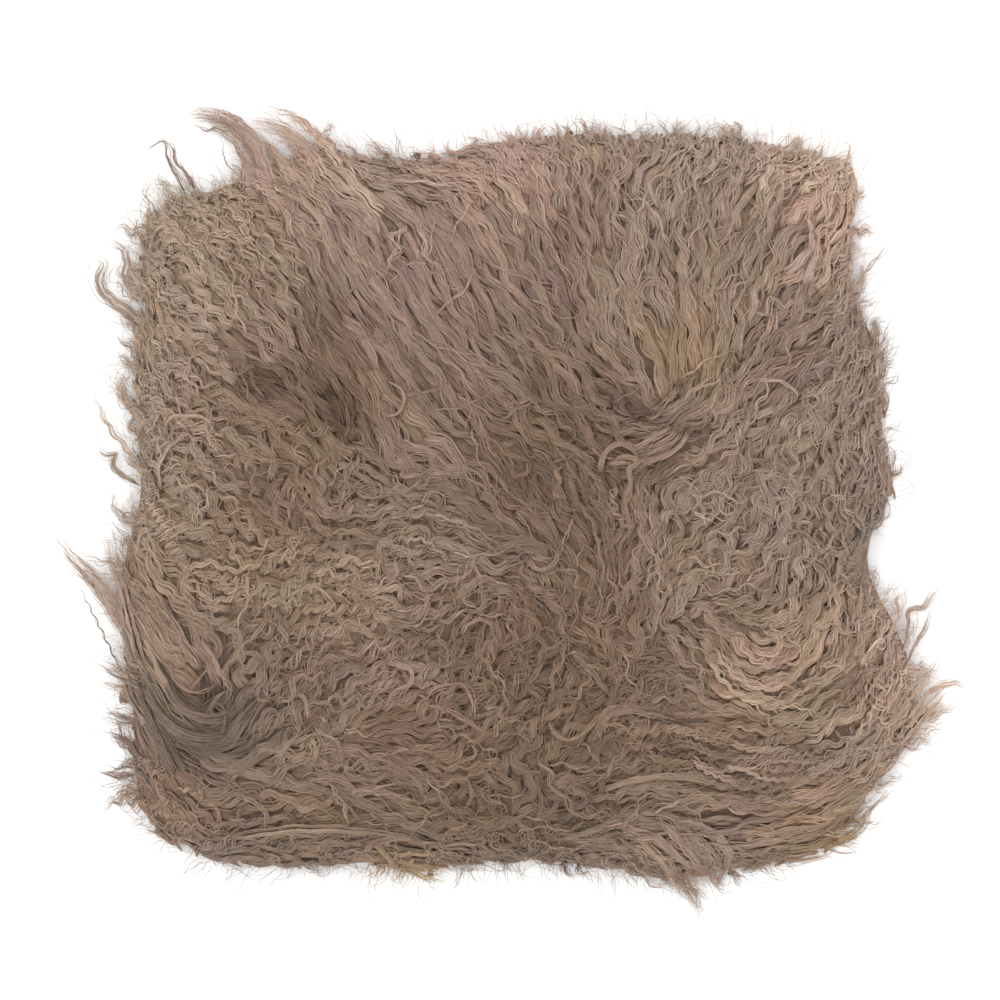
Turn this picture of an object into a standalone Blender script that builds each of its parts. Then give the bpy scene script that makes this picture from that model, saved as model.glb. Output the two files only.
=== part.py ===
"""Sheepskin seat pad: one tanned hide with its own long curly wool, lying flat.

Metres, +Z up. The origin is the middle of the hide's underside, so z = 0 is the surface
that the pad lies on. +X is the pad's right and +Y its far edge, seen from above. The
tables below are in millimetres and degrees, and a compass angle is counted from +X
towards +Y around the origin.

The pad is one piece and so one solid: a thin flat hide, the lumpy wool that stands on it
and hangs past its edge, and the separate locks at the rim, which go down to the surface.
"""
import math
import random

import bmesh
import bpy
from mathutils import Vector
from mathutils.geometry import delaunay_2d_cdt

MM = 0.001
SEED = 7

# The hide
HIDE_SIDE = 400.0
HIDE_THICKNESS = 1.6
HIDE_SQUARENESS = 7.0

# The wool as a body: its depth over the hide, its round shoulder and upright rim, and the
# grid of points on its upper surface
WOOL_DEPTH = 37.0
WOOL_UNDERSIDE = 2.0
RIM_LIP = 4.0
SHOULDER = 38.0
SHOULDER_FULLNESS = 0.75
GRID_PITCH = 11.0
GRID_MARGIN = 28.0
GRID_REACH = 300.0
COMBING_REACH = 45.0

# The locks at the rim, each the end of a swelling that runs down the shoulder. The rings
# give how far in from the edge they lie and the share of the rise there.
RIM_LOCKS = 104
OUTLINE_POINTS = 2 * RIM_LOCKS
FLUTE_RINGS = ((5.0, 1.0), (12.0, 0.9), (20.0, 0.55))
FLUTE_RISE = 2.6
FLUTE_NOTCH = 3.2
FLUTE_LEAN_LIMIT = 28.0

# The locks that lie on top of the wool, raised in its surface
RIDGE_SPACING = 32.0
RIDGE_STRAY = 9.6
RIDGE_CURL = 9.0
RIDGE_STEPS = 6
RIDGE_STEP = 11.0
RIDGE_HALF_WIDTH = 13.0
RIDGE_RISE = (4.0, 8.5)

# The free part of each rim lock: it leaves the shoulder, falls and lies on the surface
LOCK_COMBS = 4
LOCK_PLACE_STRAY = 0.1
LOCK_STRAY = 7.0
LOCK_REACHES = (0.7, 1.15)
LOCK_SEGMENTS = 4
LOCK_ROOT_DEPTH = 19.0
LOCK_ROOT_HEIGHT = 17.0
LOCK_WIDTH = 11.0
LOCK_TIP_WIDTH = 2.6
LOCK_THICKNESS = 0.62
LOCK_LANDS_AT = 0.72
LOCK_FALL = 1.3

FLEECE_COLOUR = (0.262, 0.188, 0.140, 1.0)

# How far the wool's edge lies from the middle, and how the rim's locks point: their lean
# from straight outwards, their reach past the edge and their bend up to the tip, where
# turning from +X towards +Y counts as more.
RIM_COLUMNS = ("place", "compass", "radius", "lean", "reach", "bend")
RIM = (
    ("right edge", 0, 229, 22, 7, 20),
    ("right edge above the middle", 12, 227, 30, 7, 15),
    ("right kink", 21, 240, 30, 10, 20),
    ("right wisps", 28, 241, 25, 12, -30),
    ("right edge, upper part", 36, 260, 15, 13, -35),
    ("far right corner", 44, 287, 5, 8, 30),
    ("past the far right corner", 51, 270, 20, 8, 25),
    ("two small tufts", 61, 256, 35, 11, 20),
    ("far edge, right", 72, 232, 20, 8, 20),
    ("far edge, middle", 90, 217, 20, 7, 25),
    ("far edge, left", 104, 214, 20, 10, 20),
    ("small wisps", 113, 229, 20, 15, 25),
    ("second sheaf", 121, 248, 13, 36, 28),
    ("long sheaf", 128, 252, 9, 60, 42),
    ("gap by the sheaf", 134, 262, -12, 14, 20),
    ("thin wisp", 138, 275, -16, 30, 30),
    ("far left corner", 143, 272, -6, 10, -20),
    ("left hooks", 150, 257, -16, 31, -38),
    ("below the left hooks", 156, 245, -24, 18, -30),
    ("left wisps", 163, 236, -36, 22, -25),
    ("left edge, middle", 172, 230, -40, 22, -20),
    ("left edge below the middle", 180, 226, -30, 12, -25),
    ("tips of the left sheaf", 190, 240, -52, 46, 12),
    ("left sheaf", 200, 250, -60, 26, 10),
    ("left edge, lower part", 210, 262, -38, 12, -10),
    ("near left corner, side", 218, 283, -18, 13, -20),
    ("near left corner", 226, 291, -10, 6, -15),
    ("near edge, left", 236, 268, -28, 7, -15),
    ("yellowish tuft", 254, 230, 4, 10, 15),
    ("near edge, middle", 270, 220, 18, 7, 20),
    ("before the spike", 286, 234, 20, 9, 15),
    ("spike", 294, 248, 12, 42, 12),
    ("small curl", 301, 259, 30, 15, 35),
    ("near right corner", 312, 281, 40, 7, 20),
    ("lobe, near side", 322, 285, 42, 8, 15),
    ("lobe, tip", 332, 281, 38, 26, 10),
    ("lobe, far side", 340, 260, 55, 30, 15),
    ("past the lobe", 349, 224, 45, 12, 15),
)

# Which way the wool is combed: where, and the direction from root to tip
COMBING_COLUMNS = ("place", "x", "y", "heading")
COMBING = (
    ("far left corner", -195, 175, 140),
    ("long sheaf", -130, 185, 132),
    ("parted locks", -55, 150, 112),
    ("far edge, middle", 20, 185, 95),
    ("fan, left", 75, 130, 118),
    ("fan, middle", 115, 130, 90),
    ("fan, right", 165, 140, 62),
    ("far right corner", 195, 195, 48),
    ("right edge", 205, 70, 75),
    ("right curls", 165, -5, 20),
    ("lobe", 220, -110, 38),
    ("swirl, far side", 145, -85, 170),
    ("swirl, near side", 145, -145, -10),
    ("combed bundle", 110, -190, -8),
    ("tangle", 40, -120, -75),
    ("near edge, middle", -10, -200, -100),
    ("near edge, left", -110, -205, -175),
    ("near left corner", -190, -180, -140),
    ("combed hollow", -180, -130, 150),
    ("left sheaf", -225, -80, 121),
    ("pale band", -130, -50, 178),
    ("left curls", -205, 5, 165),
    ("left hooks", -215, 110, 155),
    ("behind the valley", -130, 90, 150),
    ("middle", 0, 40, -60),
    ("before the middle", -10, -60, -95),
)

# Swellings and hollows of the wool's surface, long ones turned from +X towards +Y
LUMP_COLUMNS = ("name", "x", "y", "half_length", "half_width", "turn", "rise")
LUMPS = (
    ("soft valley", -101, 69, 46, 15, 97, -13),
    ("groove", 28, 63, 34, 12, -52, -9),
    ("curl knot", 67, 24, 22, 18, 0, 8),
    ("thick lock by the knot", 88, 38, 26, 12, 15, 5),
    ("fan of fine hair", 118, 105, 60, 48, 0, 6),
    ("swirl", 145, -114, 56, 44, -15, 8),
    ("hollow in the tangle", -20, -178, 28, 15, 20, -8),
    ("gap in the tangle", 79, -84, 20, 13, 40, -7),
    ("combed hollow", -178, -134, 36, 22, -35, -7),
    ("left sheaf", -218, -84, 62, 20, 120, 5),
    ("pale band", -134, -51, 80, 20, 3, 5),
    ("brown fuzz", -155, -10, 42, 20, 0, -4),
    ("combed bundle", 115, -190, 74, 18, 5, 5),
    ("near bundle", -95, -200, 90, 16, 3, 4),
    ("far left locks", -179, 160, 52, 40, 140, 5),
    ("parted locks", -52, 138, 58, 22, 112, 6),
    ("right curls", 165, -6, 50, 46, 0, 5),
    ("low middle", -5, -25, 60, 48, 0, -4),
)


def rows(columns, table):
    """Gives each row of a table as a dictionary by column name."""
    return [dict(zip(columns, row)) for row in table]


def clear_scene():
    for obj in list(bpy.data.objects):
        bpy.data.objects.remove(obj, do_unlink=True)


def unit(degrees):
    """The flat direction of a compass angle."""
    angle = math.radians(degrees)
    return Vector((math.cos(angle), math.sin(angle)))


def around_rim(compass, column):
    """Reads a column of the rim table at any compass angle, on a smooth closed curve."""
    places = rows(RIM_COLUMNS, RIM)
    count = len(places)
    compass = compass % 360.0
    after = next((i for i, row in enumerate(places) if row["compass"] > compass), count)
    before = after - 1
    start = places[before]["compass"]
    end = places[after % count]["compass"] + (360.0 if after == count else 0.0)
    share = (compass - start) / (end - start)
    a, b, c, d = (places[(before + step) % count][column] for step in (-1, 0, 1, 2))
    slope_b = 0.5 * (c - a)
    slope_c = 0.5 * (d - b)
    return (
        b * (2 * share**3 - 3 * share**2 + 1)
        + slope_b * (share**3 - 2 * share**2 + share)
        + c * (3 * share**2 - 2 * share**3)
        + slope_c * (share**3 - share**2)
    )


def outline_ring():
    """The wool's edge as points in order: each second one is a notch between two locks."""
    ring = []
    for index in range(OUTLINE_POINTS):
        compass = 360.0 * index / OUTLINE_POINTS
        notch = FLUTE_NOTCH * (index % 2)
        ring.append(unit(compass) * (around_rim(compass, "radius") - notch))
    return ring


def flute_ring(inset, strength):
    """Points in from the edge along the wool's lean, with how far each one is raised."""
    ring = []
    for index, edge_point in enumerate(EDGE):
        compass = 360.0 * index / OUTLINE_POINTS
        lean = max(-FLUTE_LEAN_LIMIT, min(FLUTE_LEAN_LIMIT, around_rim(compass, "lean")))
        point = edge_point - unit(compass + lean) * inset
        rise = FLUTE_RISE * strength * (1 - 2 * (index % 2))
        ring.append((point, rise))
    return ring


def hide_ring():
    """The hide's edge, a square with well rounded corners."""
    ring = []
    for index in range(OUTLINE_POINTS):
        direction = unit(360.0 * index / OUTLINE_POINTS)
        spread = abs(direction.x) ** HIDE_SQUARENESS + abs(direction.y) ** HIDE_SQUARENESS
        ring.append(direction * (0.5 * HIDE_SIDE / spread ** (1.0 / HIDE_SQUARENESS)))
    return ring


def distance_to_run(point, start, end):
    """How far a point lies from a straight run."""
    run = end - start
    share = max(0.0, min(1.0, (point - start).dot(run) / run.length_squared))
    return (point - start - run * share).length


def distance_to_edge(point):
    return min(distance_to_run(point, EDGE[i - 1], EDGE[i]) for i in range(OUTLINE_POINTS))


def inside_edge(point, margin):
    """Tells whether a point lies in the wool's outline and off its edge by a margin."""
    compass = math.degrees(math.atan2(point.y, point.x))
    if point.length > around_rim(compass, "radius") - margin:
        return False
    return distance_to_edge(point) >= margin


def hexagonal_grid(pitch, margin):
    """Points of an even triangular grid that lie well inside the wool's outline."""
    row_step = pitch * math.sqrt(3.0) / 2.0
    row_count = int(GRID_REACH / row_step)
    column_count = int(GRID_REACH / pitch)
    points = []
    for row in range(-row_count, row_count + 1):
        shift = 0.5 * pitch * (row % 2)
        for column in range(-column_count, column_count + 1):
            point = Vector((column * pitch + shift, row * row_step))
            if inside_edge(point, margin):
                points.append(point)
    return points


def combed(point):
    """The direction in which the wool is combed at a point."""
    total = Vector((0.0, 0.0))
    for place in rows(COMBING_COLUMNS, COMBING):
        offset = point - Vector((place["x"], place["y"]))
        weight = 1.0 / (COMBING_REACH**2 + offset.length_squared) ** 2
        total += unit(place["heading"]) * weight
    return total.normalized()


def ridge_paths():
    """Paths of the locks that lie on the wool, each from its root along the combing."""
    chance = random.Random(SEED)
    paths = []
    for root in hexagonal_grid(RIDGE_SPACING, 0.5 * SHOULDER):
        stray = [chance.uniform(-RIDGE_STRAY, RIDGE_STRAY) for axis in range(2)]
        point = root + Vector(stray)
        curl = chance.uniform(-RIDGE_CURL, RIDGE_CURL)
        path = [point]
        for step in range(RIDGE_STEPS):
            heading = combed(point)
            turn = math.radians(curl * step)
            side = Vector((-heading.y, heading.x))
            point = point + (heading * math.cos(turn) + side * math.sin(turn)) * RIDGE_STEP
            path.append(point)
        paths.append((path, chance.uniform(*RIDGE_RISE)))
    return paths


def ridge_height(point, paths):
    """How far the locks on top raise the wool at a point."""
    height = 0.0
    for path, rise in paths:
        if (path[0] - point).length > RIDGE_STEPS * RIDGE_STEP + RIDGE_HALF_WIDTH:
            continue
        for step in range(1, len(path)):
            distance = distance_to_run(point, path[step - 1], path[step])
            if distance < RIDGE_HALF_WIDTH:
                bulge = math.cos(0.5 * math.pi * distance / RIDGE_HALF_WIDTH)
                height = max(height, rise * bulge)
    return height


def lump_height(point):
    """How far the table's swellings and hollows raise the wool at a point."""
    height = 0.0
    for lump in rows(LUMP_COLUMNS, LUMPS):
        along = unit(lump["turn"])
        offset = point - Vector((lump["x"], lump["y"]))
        lengthwise = offset.dot(along) / lump["half_length"]
        crosswise = offset.dot(Vector((-along.y, along.x))) / lump["half_width"]
        height += lump["rise"] * math.exp(-(lengthwise**2) - crosswise**2)
    return height


def wool_height(point, paths):
    """Height of the wool's upper surface: a steep round rim, then lumps and locks."""
    share = min(1.0, distance_to_edge(point) / SHOULDER)
    shoulder = math.sin(0.5 * math.pi * share) ** SHOULDER_FULLNESS
    full = WOOL_DEPTH + lump_height(point) + ridge_height(point, paths)
    lip = WOOL_UNDERSIDE + RIM_LIP
    return lip + (full - lip) * shoulder


def lifted(point, height):
    """A flat point in millimetres as a point in space in metres."""
    return Vector((point.x, point.y, height)) * MM


def add_ring(bm, ring, height):
    return [bm.verts.new(lifted(point, height)) for point in ring]


def bridge(bm, upper, lower):
    for index in range(len(upper)):
        bm.faces.new((upper[index - 1], lower[index - 1], lower[index], upper[index]))


def wool_top(bm):
    """Adds the wool's upper surface and gives its outermost ring of points."""
    raised = [(point, 0.0) for point in EDGE]
    for inset, strength in FLUTE_RINGS:
        raised += flute_ring(inset, strength)
    raised += [(point, 0.0) for point in hexagonal_grid(GRID_PITCH, GRID_MARGIN)]
    border = list(range(OUTLINE_POINTS))
    inside_triangles = 1
    flat = [point for point, rise in raised]
    found = delaunay_2d_cdt(flat, [], [border], inside_triangles, 0.001)
    points, faces, sources = found[0], found[2], found[3]
    paths = ridge_paths()
    verts = []
    for point, merged in zip(points, sources):
        rise = raised[merged[0]][1]
        verts.append(bm.verts.new(lifted(point, wool_height(point, paths) + rise)))
    for face in faces:
        bm.faces.new([verts[index] for index in face])
    place = {source: verts[index] for index, merged in enumerate(sources) for source in merged}
    return [place[index] for index in border]


def make_fleece(material):
    """The hide and the body of wool: upper surface, rim, underside and hide plate."""
    bm = bmesh.new()
    rim_top = wool_top(bm)
    rim_foot = add_ring(bm, EDGE, WOOL_UNDERSIDE)
    hide_top = add_ring(bm, hide_ring(), HIDE_THICKNESS)
    hide_foot = add_ring(bm, hide_ring(), 0.0)
    bridge(bm, rim_top, rim_foot)
    bridge(bm, rim_foot, hide_top)
    bridge(bm, hide_top, hide_foot)
    bm.faces.new(hide_foot)
    return finish_object(bm, "sheepskin", material)


def lock_path(compass, chance):
    """Points of a rim lock from its root in the shoulder to its tip, seen from above."""
    reach = around_rim(compass, "reach")
    stray = LOCK_STRAY * LOCK_ROOT_DEPTH / (LOCK_ROOT_DEPTH + reach)
    lean = around_rim(compass, "lean") + chance.uniform(-stray, stray)
    bend = around_rim(compass, "bend")
    reach *= chance.uniform(*LOCK_REACHES)
    hidden = LOCK_ROOT_DEPTH / math.cos(math.radians(lean))
    length = hidden + reach
    heading = compass + lean
    path = [unit(compass) * around_rim(compass, "radius") - unit(heading) * hidden]
    for step in range(LOCK_SEGMENTS):
        turned = bend * max(0.0, step - 1) / (LOCK_SEGMENTS - 2)
        path.append(path[-1] + unit(heading + turned) * (length / LOCK_SEGMENTS))
    return path


def lock_height(share):
    """Height of a lock's flat underside: down from the wool, then level along the floor."""
    fall = max(0.0, 1.0 - share / LOCK_LANDS_AT)
    return LOCK_ROOT_HEIGHT * fall**LOCK_FALL


def add_lock(bm, path):
    """Adds one three-sided lock with a flat underside and a pointed tip."""
    rings = []
    for step in range(LOCK_SEGMENTS):
        share = step / LOCK_SEGMENTS
        width = LOCK_WIDTH + (LOCK_TIP_WIDTH - LOCK_WIDTH) * share
        along = (path[step + 1] - path[max(0, step - 1)]).normalized()
        side = Vector((-along.y, along.x)) * (0.5 * width)
        foot = lock_height(share)
        crest = foot + width * LOCK_THICKNESS
        corners = ((path[step] + side, foot), (path[step] - side, foot), (path[step], crest))
        rings.append([bm.verts.new(lifted(point, height)) for point, height in corners])
    tip = bm.verts.new(lifted(path[-1], lock_height(1.0)))
    bm.faces.new(rings[0])
    for step in range(1, LOCK_SEGMENTS):
        bridge(bm, rings[step - 1], rings[step])
    for corner in range(3):
        bm.faces.new((rings[-1][corner - 1], tip, rings[-1][corner]))


def make_comb(comb, material):
    """Every fourth rim lock as one helper object, so that its locks lie well apart."""
    bm = bmesh.new()
    chance = random.Random(SEED + comb)
    for index in range(comb, RIM_LOCKS, LOCK_COMBS):
        place = index + chance.uniform(-LOCK_PLACE_STRAY, LOCK_PLACE_STRAY)
        compass = 360.0 * place / RIM_LOCKS
        add_lock(bm, lock_path(compass, chance))
    helper = finish_object(bm, f"rim_locks_{comb}", material)
    helper.hide_render = True
    helper.display_type = "WIRE"
    return helper


def finish_object(bm, name, material):
    bmesh.ops.recalc_face_normals(bm, faces=bm.faces)
    mesh = bpy.data.meshes.new(name)
    bm.to_mesh(mesh)
    bm.free()
    mesh.materials.append(material)
    mesh.shade_smooth()
    obj = bpy.data.objects.new(name, mesh)
    bpy.context.scene.collection.objects.link(obj)
    return obj


def fleece_material():
    material = bpy.data.materials.new("fleece")
    material.use_nodes = True
    shader = material.node_tree.nodes["Principled BSDF"]
    shader.inputs["Base Color"].default_value = FLEECE_COLOUR
    shader.inputs["Roughness"].default_value = 0.9
    shader.inputs["Metallic"].default_value = 0.0
    return material


def main():
    clear_scene()
    material = fleece_material()
    sheepskin = make_fleece(material)
    for comb in range(LOCK_COMBS):
        join = sheepskin.modifiers.new(f"join locks {comb}", "BOOLEAN")
        join.operation = "UNION"
        join.solver = "EXACT"
        join.object = make_comb(comb, material)


EDGE = outline_ring()
main()
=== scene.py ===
"""Looks of the sheepskin seat pad: long curly wool on a thin tanned hide.

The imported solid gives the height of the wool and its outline. Over it lie separate locks of
fine strands, which follow a table of combing directions and a table of styles. Lengths are in
millimetres and angles in degrees. Headings are counted from +X towards +Y, seen from above.
"""

import math

import bpy
import numpy as np
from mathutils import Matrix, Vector
from mathutils.bvhtree import BVHTree


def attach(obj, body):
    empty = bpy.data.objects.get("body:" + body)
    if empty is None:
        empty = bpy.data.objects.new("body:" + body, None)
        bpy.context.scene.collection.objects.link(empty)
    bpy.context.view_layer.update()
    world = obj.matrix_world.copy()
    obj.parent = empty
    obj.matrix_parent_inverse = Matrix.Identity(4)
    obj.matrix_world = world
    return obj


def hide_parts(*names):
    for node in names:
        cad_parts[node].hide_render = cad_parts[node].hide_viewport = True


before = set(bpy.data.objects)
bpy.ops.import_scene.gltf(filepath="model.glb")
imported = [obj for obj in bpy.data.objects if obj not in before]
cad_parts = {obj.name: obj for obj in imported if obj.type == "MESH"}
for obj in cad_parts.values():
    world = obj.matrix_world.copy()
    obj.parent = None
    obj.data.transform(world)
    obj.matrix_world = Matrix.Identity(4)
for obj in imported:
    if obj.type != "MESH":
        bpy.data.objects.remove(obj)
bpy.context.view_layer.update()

MM = 0.001
SEED = 41

# The camera looks straight down on the middle of the picture, in metres
CAMERA_X = -0.0048
CAMERA_HEIGHT = 2.035
CAMERA_LENS = 120.0
CAMERA_RANGE = 20.0

# The pale floor and the white room, in metres, with a soft light from the far left
FLOOR_SIZE = 12.0
FLOOR_DROP = 0.0005
FLOOR_SHADE = 0.93
ROOM_STRENGTH = 1.29
LIGHT_STRENGTH = 0.65
LIGHT_SPREAD = 40.0
LIGHT_FROM = (-0.55, 0.6, 1.25)

# The grid that the solid's height and the tables are spread over. The height is read by
# looking down from READ_FROM, in metres.
GRID_REACH = 330.0
GRID_PITCH = 3.0
GRID_COUNT = int(2 * GRID_REACH / GRID_PITCH) + 1
READ_FROM = 0.2
SMOOTH_PASSES = 3

# The wool's edge lies where the solid gets this high, and is evened out over some degrees
EDGE_HEIGHT = 12.0
EDGE_SEARCH = (150.0, 310.0)
EDGE_WINDOW = 9

# The gentle unevenness of the wool: bumps, spots of another hue, and painted shade in the hollows
RELIEF = 1.3
RELIEF_PASSES = 18
FULL_HEIGHT = 20.0
HUES = ((0.035, 0.035, 0.035), (0.008, 0.005, -0.018), (0.009, -0.009, 0.004))
HUE_PASSES = 18
PAINTED_HOLLOW_SHADE = 0.05

# The locks that cover the wool. Each grows both ways from a point of an uneven grid, with
# a second grid of them in a band along the rim.
LOCK_PITCH = 10.6
LOOSE_PITCH = 6.0
LOCK_JITTER = 0.5
RIM_BAND = 34.0
RIM_MARGIN = 5.0
BACK_STEPS = 18
GUIDE_STEPS = 46
ROOT_MARGIN = 7.0
FEWEST_STEPS = 4
REACH_SHARES = (-0.4, 0.6)
COMBING_REACH = 18.0
STYLE_CORE = 0.15
TIP_CURL = 4.0
STEEPEST = 1.5
CORNER_CUTS = 4

# A lock comes up out of the wool, arches a little and stays off the floor
ROOT_SINK = 8.0
EMERGENCE = 0.18
ARCH = 1.2
UNDER_LAYER = (-1.5, -0.5)
FLOOR_GAP = 0.7
FLOOR_LIFT = 0.4
FLOOR_LAYERS = 6.0
RIBBON_GAP = 0.3

# How far the locks of the cover differ from their neighbours in shade, hue and wave
LOCK_SHADE = 0.095
LOCK_WARMTH = 0.03
WARMER = (0.3, 0.2, -0.7)
LOCK_ROSE = 0.015
ROSIER = (0.7, -0.6, 0.4)
WAVE_STRAY = 0.45
OFFBEAT_SHARE = 0.2
OFFBEAT = 2.0

# The locks at the rim, the hairs past it, and the wisps and ringlets on top of the cover
RIM_LOCKS = 320
RIM_SHADE = 0.07
RIM_STRAY = 16.0
LEAST_SLANT = 0.7
RIM_SLACK = 1.05
RIM_WAVE = 0.8
RIM_FRIZZ = 0.6
HALO_HAIRS = 900
HALO_REACH = 14.0
HALO_PAST = 4.0
HALO_SLACK = 1.5
HALO_STRAY = 28.0
HALO_CURL = 80.0
WISPS = 430
WISP_INSET = 14.0
WISP_BIAS = 20.0
WISP_STRAY = 26.0
WISP_CURL = 1.3
WISP_FRIZZ = 0.6
WISP_STRANDS = (3, 7)
RINGLETS = 120
RINGLET_INSET = 12.0
RINGLET_BIAS = -16.0
RINGLET_STRAY = 40.0
RINGLET_CURL = 60.0
RINGLET_TONE = (1.08, 0.1)
ROLLED_SHARE = 0.25
ROLLED_CRIMP = 0.5
LANDMARK_THICKNESS = 0.4
THICKEST = 3.0

# The lowest and highest draw of each kind of lock's traits. Many of those of the cover, the
# rim and the wisps are shares of the style's own value.
SPREADS = {
    "cover": {
        "length": (0.6, 1.25), "layer": (-0.6, 2.6), "wander": (0.4, 1.4),
        "wander_wave": (26.0, 60.0), "phase": (0.0, 2 * math.pi), "curl": (0.2, 1.5),
        "width": (0.6, 1.7), "thick": (0.5, 1.5), "gather": (0.25, 1.0),
        "crimp": (0.5, 1.35), "frizz": (0.6, 1.5),
    },
    "rim": {
        "turn": (-0.5, 0.5), "inset": (6.0, 42.0), "reach": (0.35, 1.05),
        "layer": (-1.0, 3.5), "wander": (0.8, 1.8), "curl": (-1.5, 1.5),
        "width": (6.0, 14.0), "gather": (0.0, 0.6), "crimp": (0.6, 1.3),
    },
    "halo": {
        "compass": (0.0, 360.0), "inset": (3.0, 16.0), "reach": (0.3, 1.2),
        "layer": (0.0, 6.0), "wander": (10.0, 60.0), "tone": (0.85, 1.2),
    },
    "wisp": {
        "length": (0.45, 0.95), "layer": (1.5, 4.5), "wander": (0.5, 1.4),
        "width": (1.2, 3.6), "gather": (0.2, 0.9), "crimp": (0.7, 1.3), "tone": (0.98, 1.32),
    },
    "ringlet": {
        "turn": (180.0, 380.0), "length": (32.0, 66.0), "layer": (1.5, 5.0),
        "wander": (10.0, 40.0), "width": (2.2, 4.6), "gather": (0.1, 0.7),
        "crimp": (1.8, 3.8), "wave": (14.0, 23.0), "wave_stray": (0.0, 6.0),
    },
}

# A quiet lock, and what differs from it on every lock of a kind
PLAIN_LOCK = {
    "length": 60.0, "layer": 0.0, "sink": ROOT_SINK, "wander": 10.0, "curl": 0.0, "width": 6.0,
    "thick": 1.6, "gather": 0.6, "crimp": 0.6, "wave": 16.0, "wave_stray": 0.0, "frizz": 0.4,
    "strands": 1, "fineness": 1.0,
}
KINDS = {
    "rim": {"strands": 11},
    "halo": {"width": 0.5, "frizz": 0.8, "fineness": 0.5, "sink": 4.0},
    "wisp": {"thick": 0.6, "fineness": 0.8},
    "ringlet": {"thick": 1.2, "frizz": 0.25, "strands": 8},
    "landmark": {"sink": 6.0, "gather": 0.5, "frizz": 0.25},
}

# What a lock is made of: one broad ribbon under it, ribbons for its body, and fine strands
# in tufts. A pair holds the lowest and highest draw. Roll, fling, shade and a single rise
# are how far these stray from one to the next.
BODY_RIBBONS = 5
BODY_MARGIN = 5.0
FEWEST_BODY_STEPS = 8
STRANDS_A_LOCK = 12
TUFTS_A_LOCK = 4
RIBBONS = {
    "under": {
        "width": (4.5, 6.5), "roll": 4.0, "rise": 0.15, "shade": 0.04,
        "crimp": 0.3, "wave": 40.0, "frizz": 0.3,
    },
    "body": {
        "width": (1.2, 2.2), "roll": 8.0, "rise": 0.15, "shade": 0.04, "fling": 0.8,
        "tone": 0.92, "frizz": 0.5, "side": 0.36, "dome": 0.35, "turn": 12.0,
    },
    "strand": {"width": (0.36, 0.68), "roll": 18.0, "rise": (0.15, 0.7), "shade": 0.045, "tone": 1.14},
}

# At which share of its lock a strand starts and ends, and how far ribbons and strands stray
# in the other traits
START = (0.0, 0.12)
END = (0.6, 1.0)
BODY_END = (0.7, 1.0)
GATHER_STRAY = (0.7, 1.1)
BODY_STRAY = 0.05
CRIMP_STRAY = (0.75, 1.2)
RATE_STRAY = 0.03
PHASE_STRAY = 0.32
FRIZZ_WAVE = (5.0, 14.0)

# Where the tufts lie in their lock, how their waves differ, and how wide they spread. The
# strands that stray differ in phase up to a limit, and in the rest by a factor.
TUFT_SIDE = 0.9
TUFT_PHASE = 0.35
TUFT_SPREAD = 0.16
STRAY_SHARE = 0.14
STRAY = {"phase": 6.0, "crimp": 1.5, "frizz": 2.4, "fling": 5.0}
STEADY_FLING = 1.2

# Waves are small at the root and full from SWING_FULL on. They rise and sink less than they
# swing to the side.
SWING_FULL = 0.25
LEAST_SWING = 0.15
CRIMP_RISE = 0.5
FRIZZ_RISE = 0.6

# A strand gets as many points as its waves need, from one of these classes
SAMPLE_CLASSES = (9, 13, 18, 24, 32, 46, 64, 92)
SAMPLES_A_WAVE = 5.5

# Ribbons and strands that others hide are left out, down to this many triangles
BODY_BUDGET = 190000
STRAND_BUDGET = 297000
COVER_CELL = 2.6
COVER_DEPTH = 3

# The pieces of wool, each a sector of the pad, with a cell of its map for each strand
SECTORS = 6
CELL_ROWS = 9
CELL_EDGES = (0.08, 0.92)
CELL_ENDS = (0.02, 0.98)
STRAND_STEP = 7.3

# How much the pad's materials mirror, the wool's colour, the painted shade deep between the locks and
# the painted highlight high on top of them, and the fine crimped streaks along each ribbon
MIRROR_LEVEL = 0.3
WOOL_COLOUR = (0.262, 0.179, 0.129)
DEEP_PAINTED_SHADE = (0.90, 0.80, 0.69)
HIGH_PAINTED_LIGHT = (1.15, 1.18, 1.21)
PAINTED_LIGHT_DEPTHS = (-2.0, 4.5)
# Painted shade towards each strand's root, fading out over a share of its length
ROOT_PAINTED_SHADE = 0.94
ROOT_SHADE_SHARE = 0.3
DARKEST = 0.01
PALEST = 0.9
CRIMP_WAVE = 6.5
CRIMP_SWING = 0.3
STREAK_SCALE = (0.75, 0.03, 1.0)
DARK_STREAK = (0.60, 0.53, 0.45)
PALE_STREAK = (1.38, 1.43, 1.48)

# The matted wool under the locks, and the square hide with well rounded corners below it
TURNS = 240
FELT_RINGS = 40
FELT_DEPTH = 2.1
FELT_BOTTOM = 2.0
FELT_RIM = 2.0
FELT_PAST_EDGE = 2.0
DARK_FELT = (0.18, 0.122, 0.085)
PALE_FELT = (0.46, 0.33, 0.24)
HIDE_SIDE = 400.0
HIDE_SQUARENESS = 7.0
HIDE_THICKNESS = 1.6
HIDE_RINGS = 8
DARK_HIDE = (0.42, 0.32, 0.23)
PALE_HIDE = (0.66, 0.54, 0.42)

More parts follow.
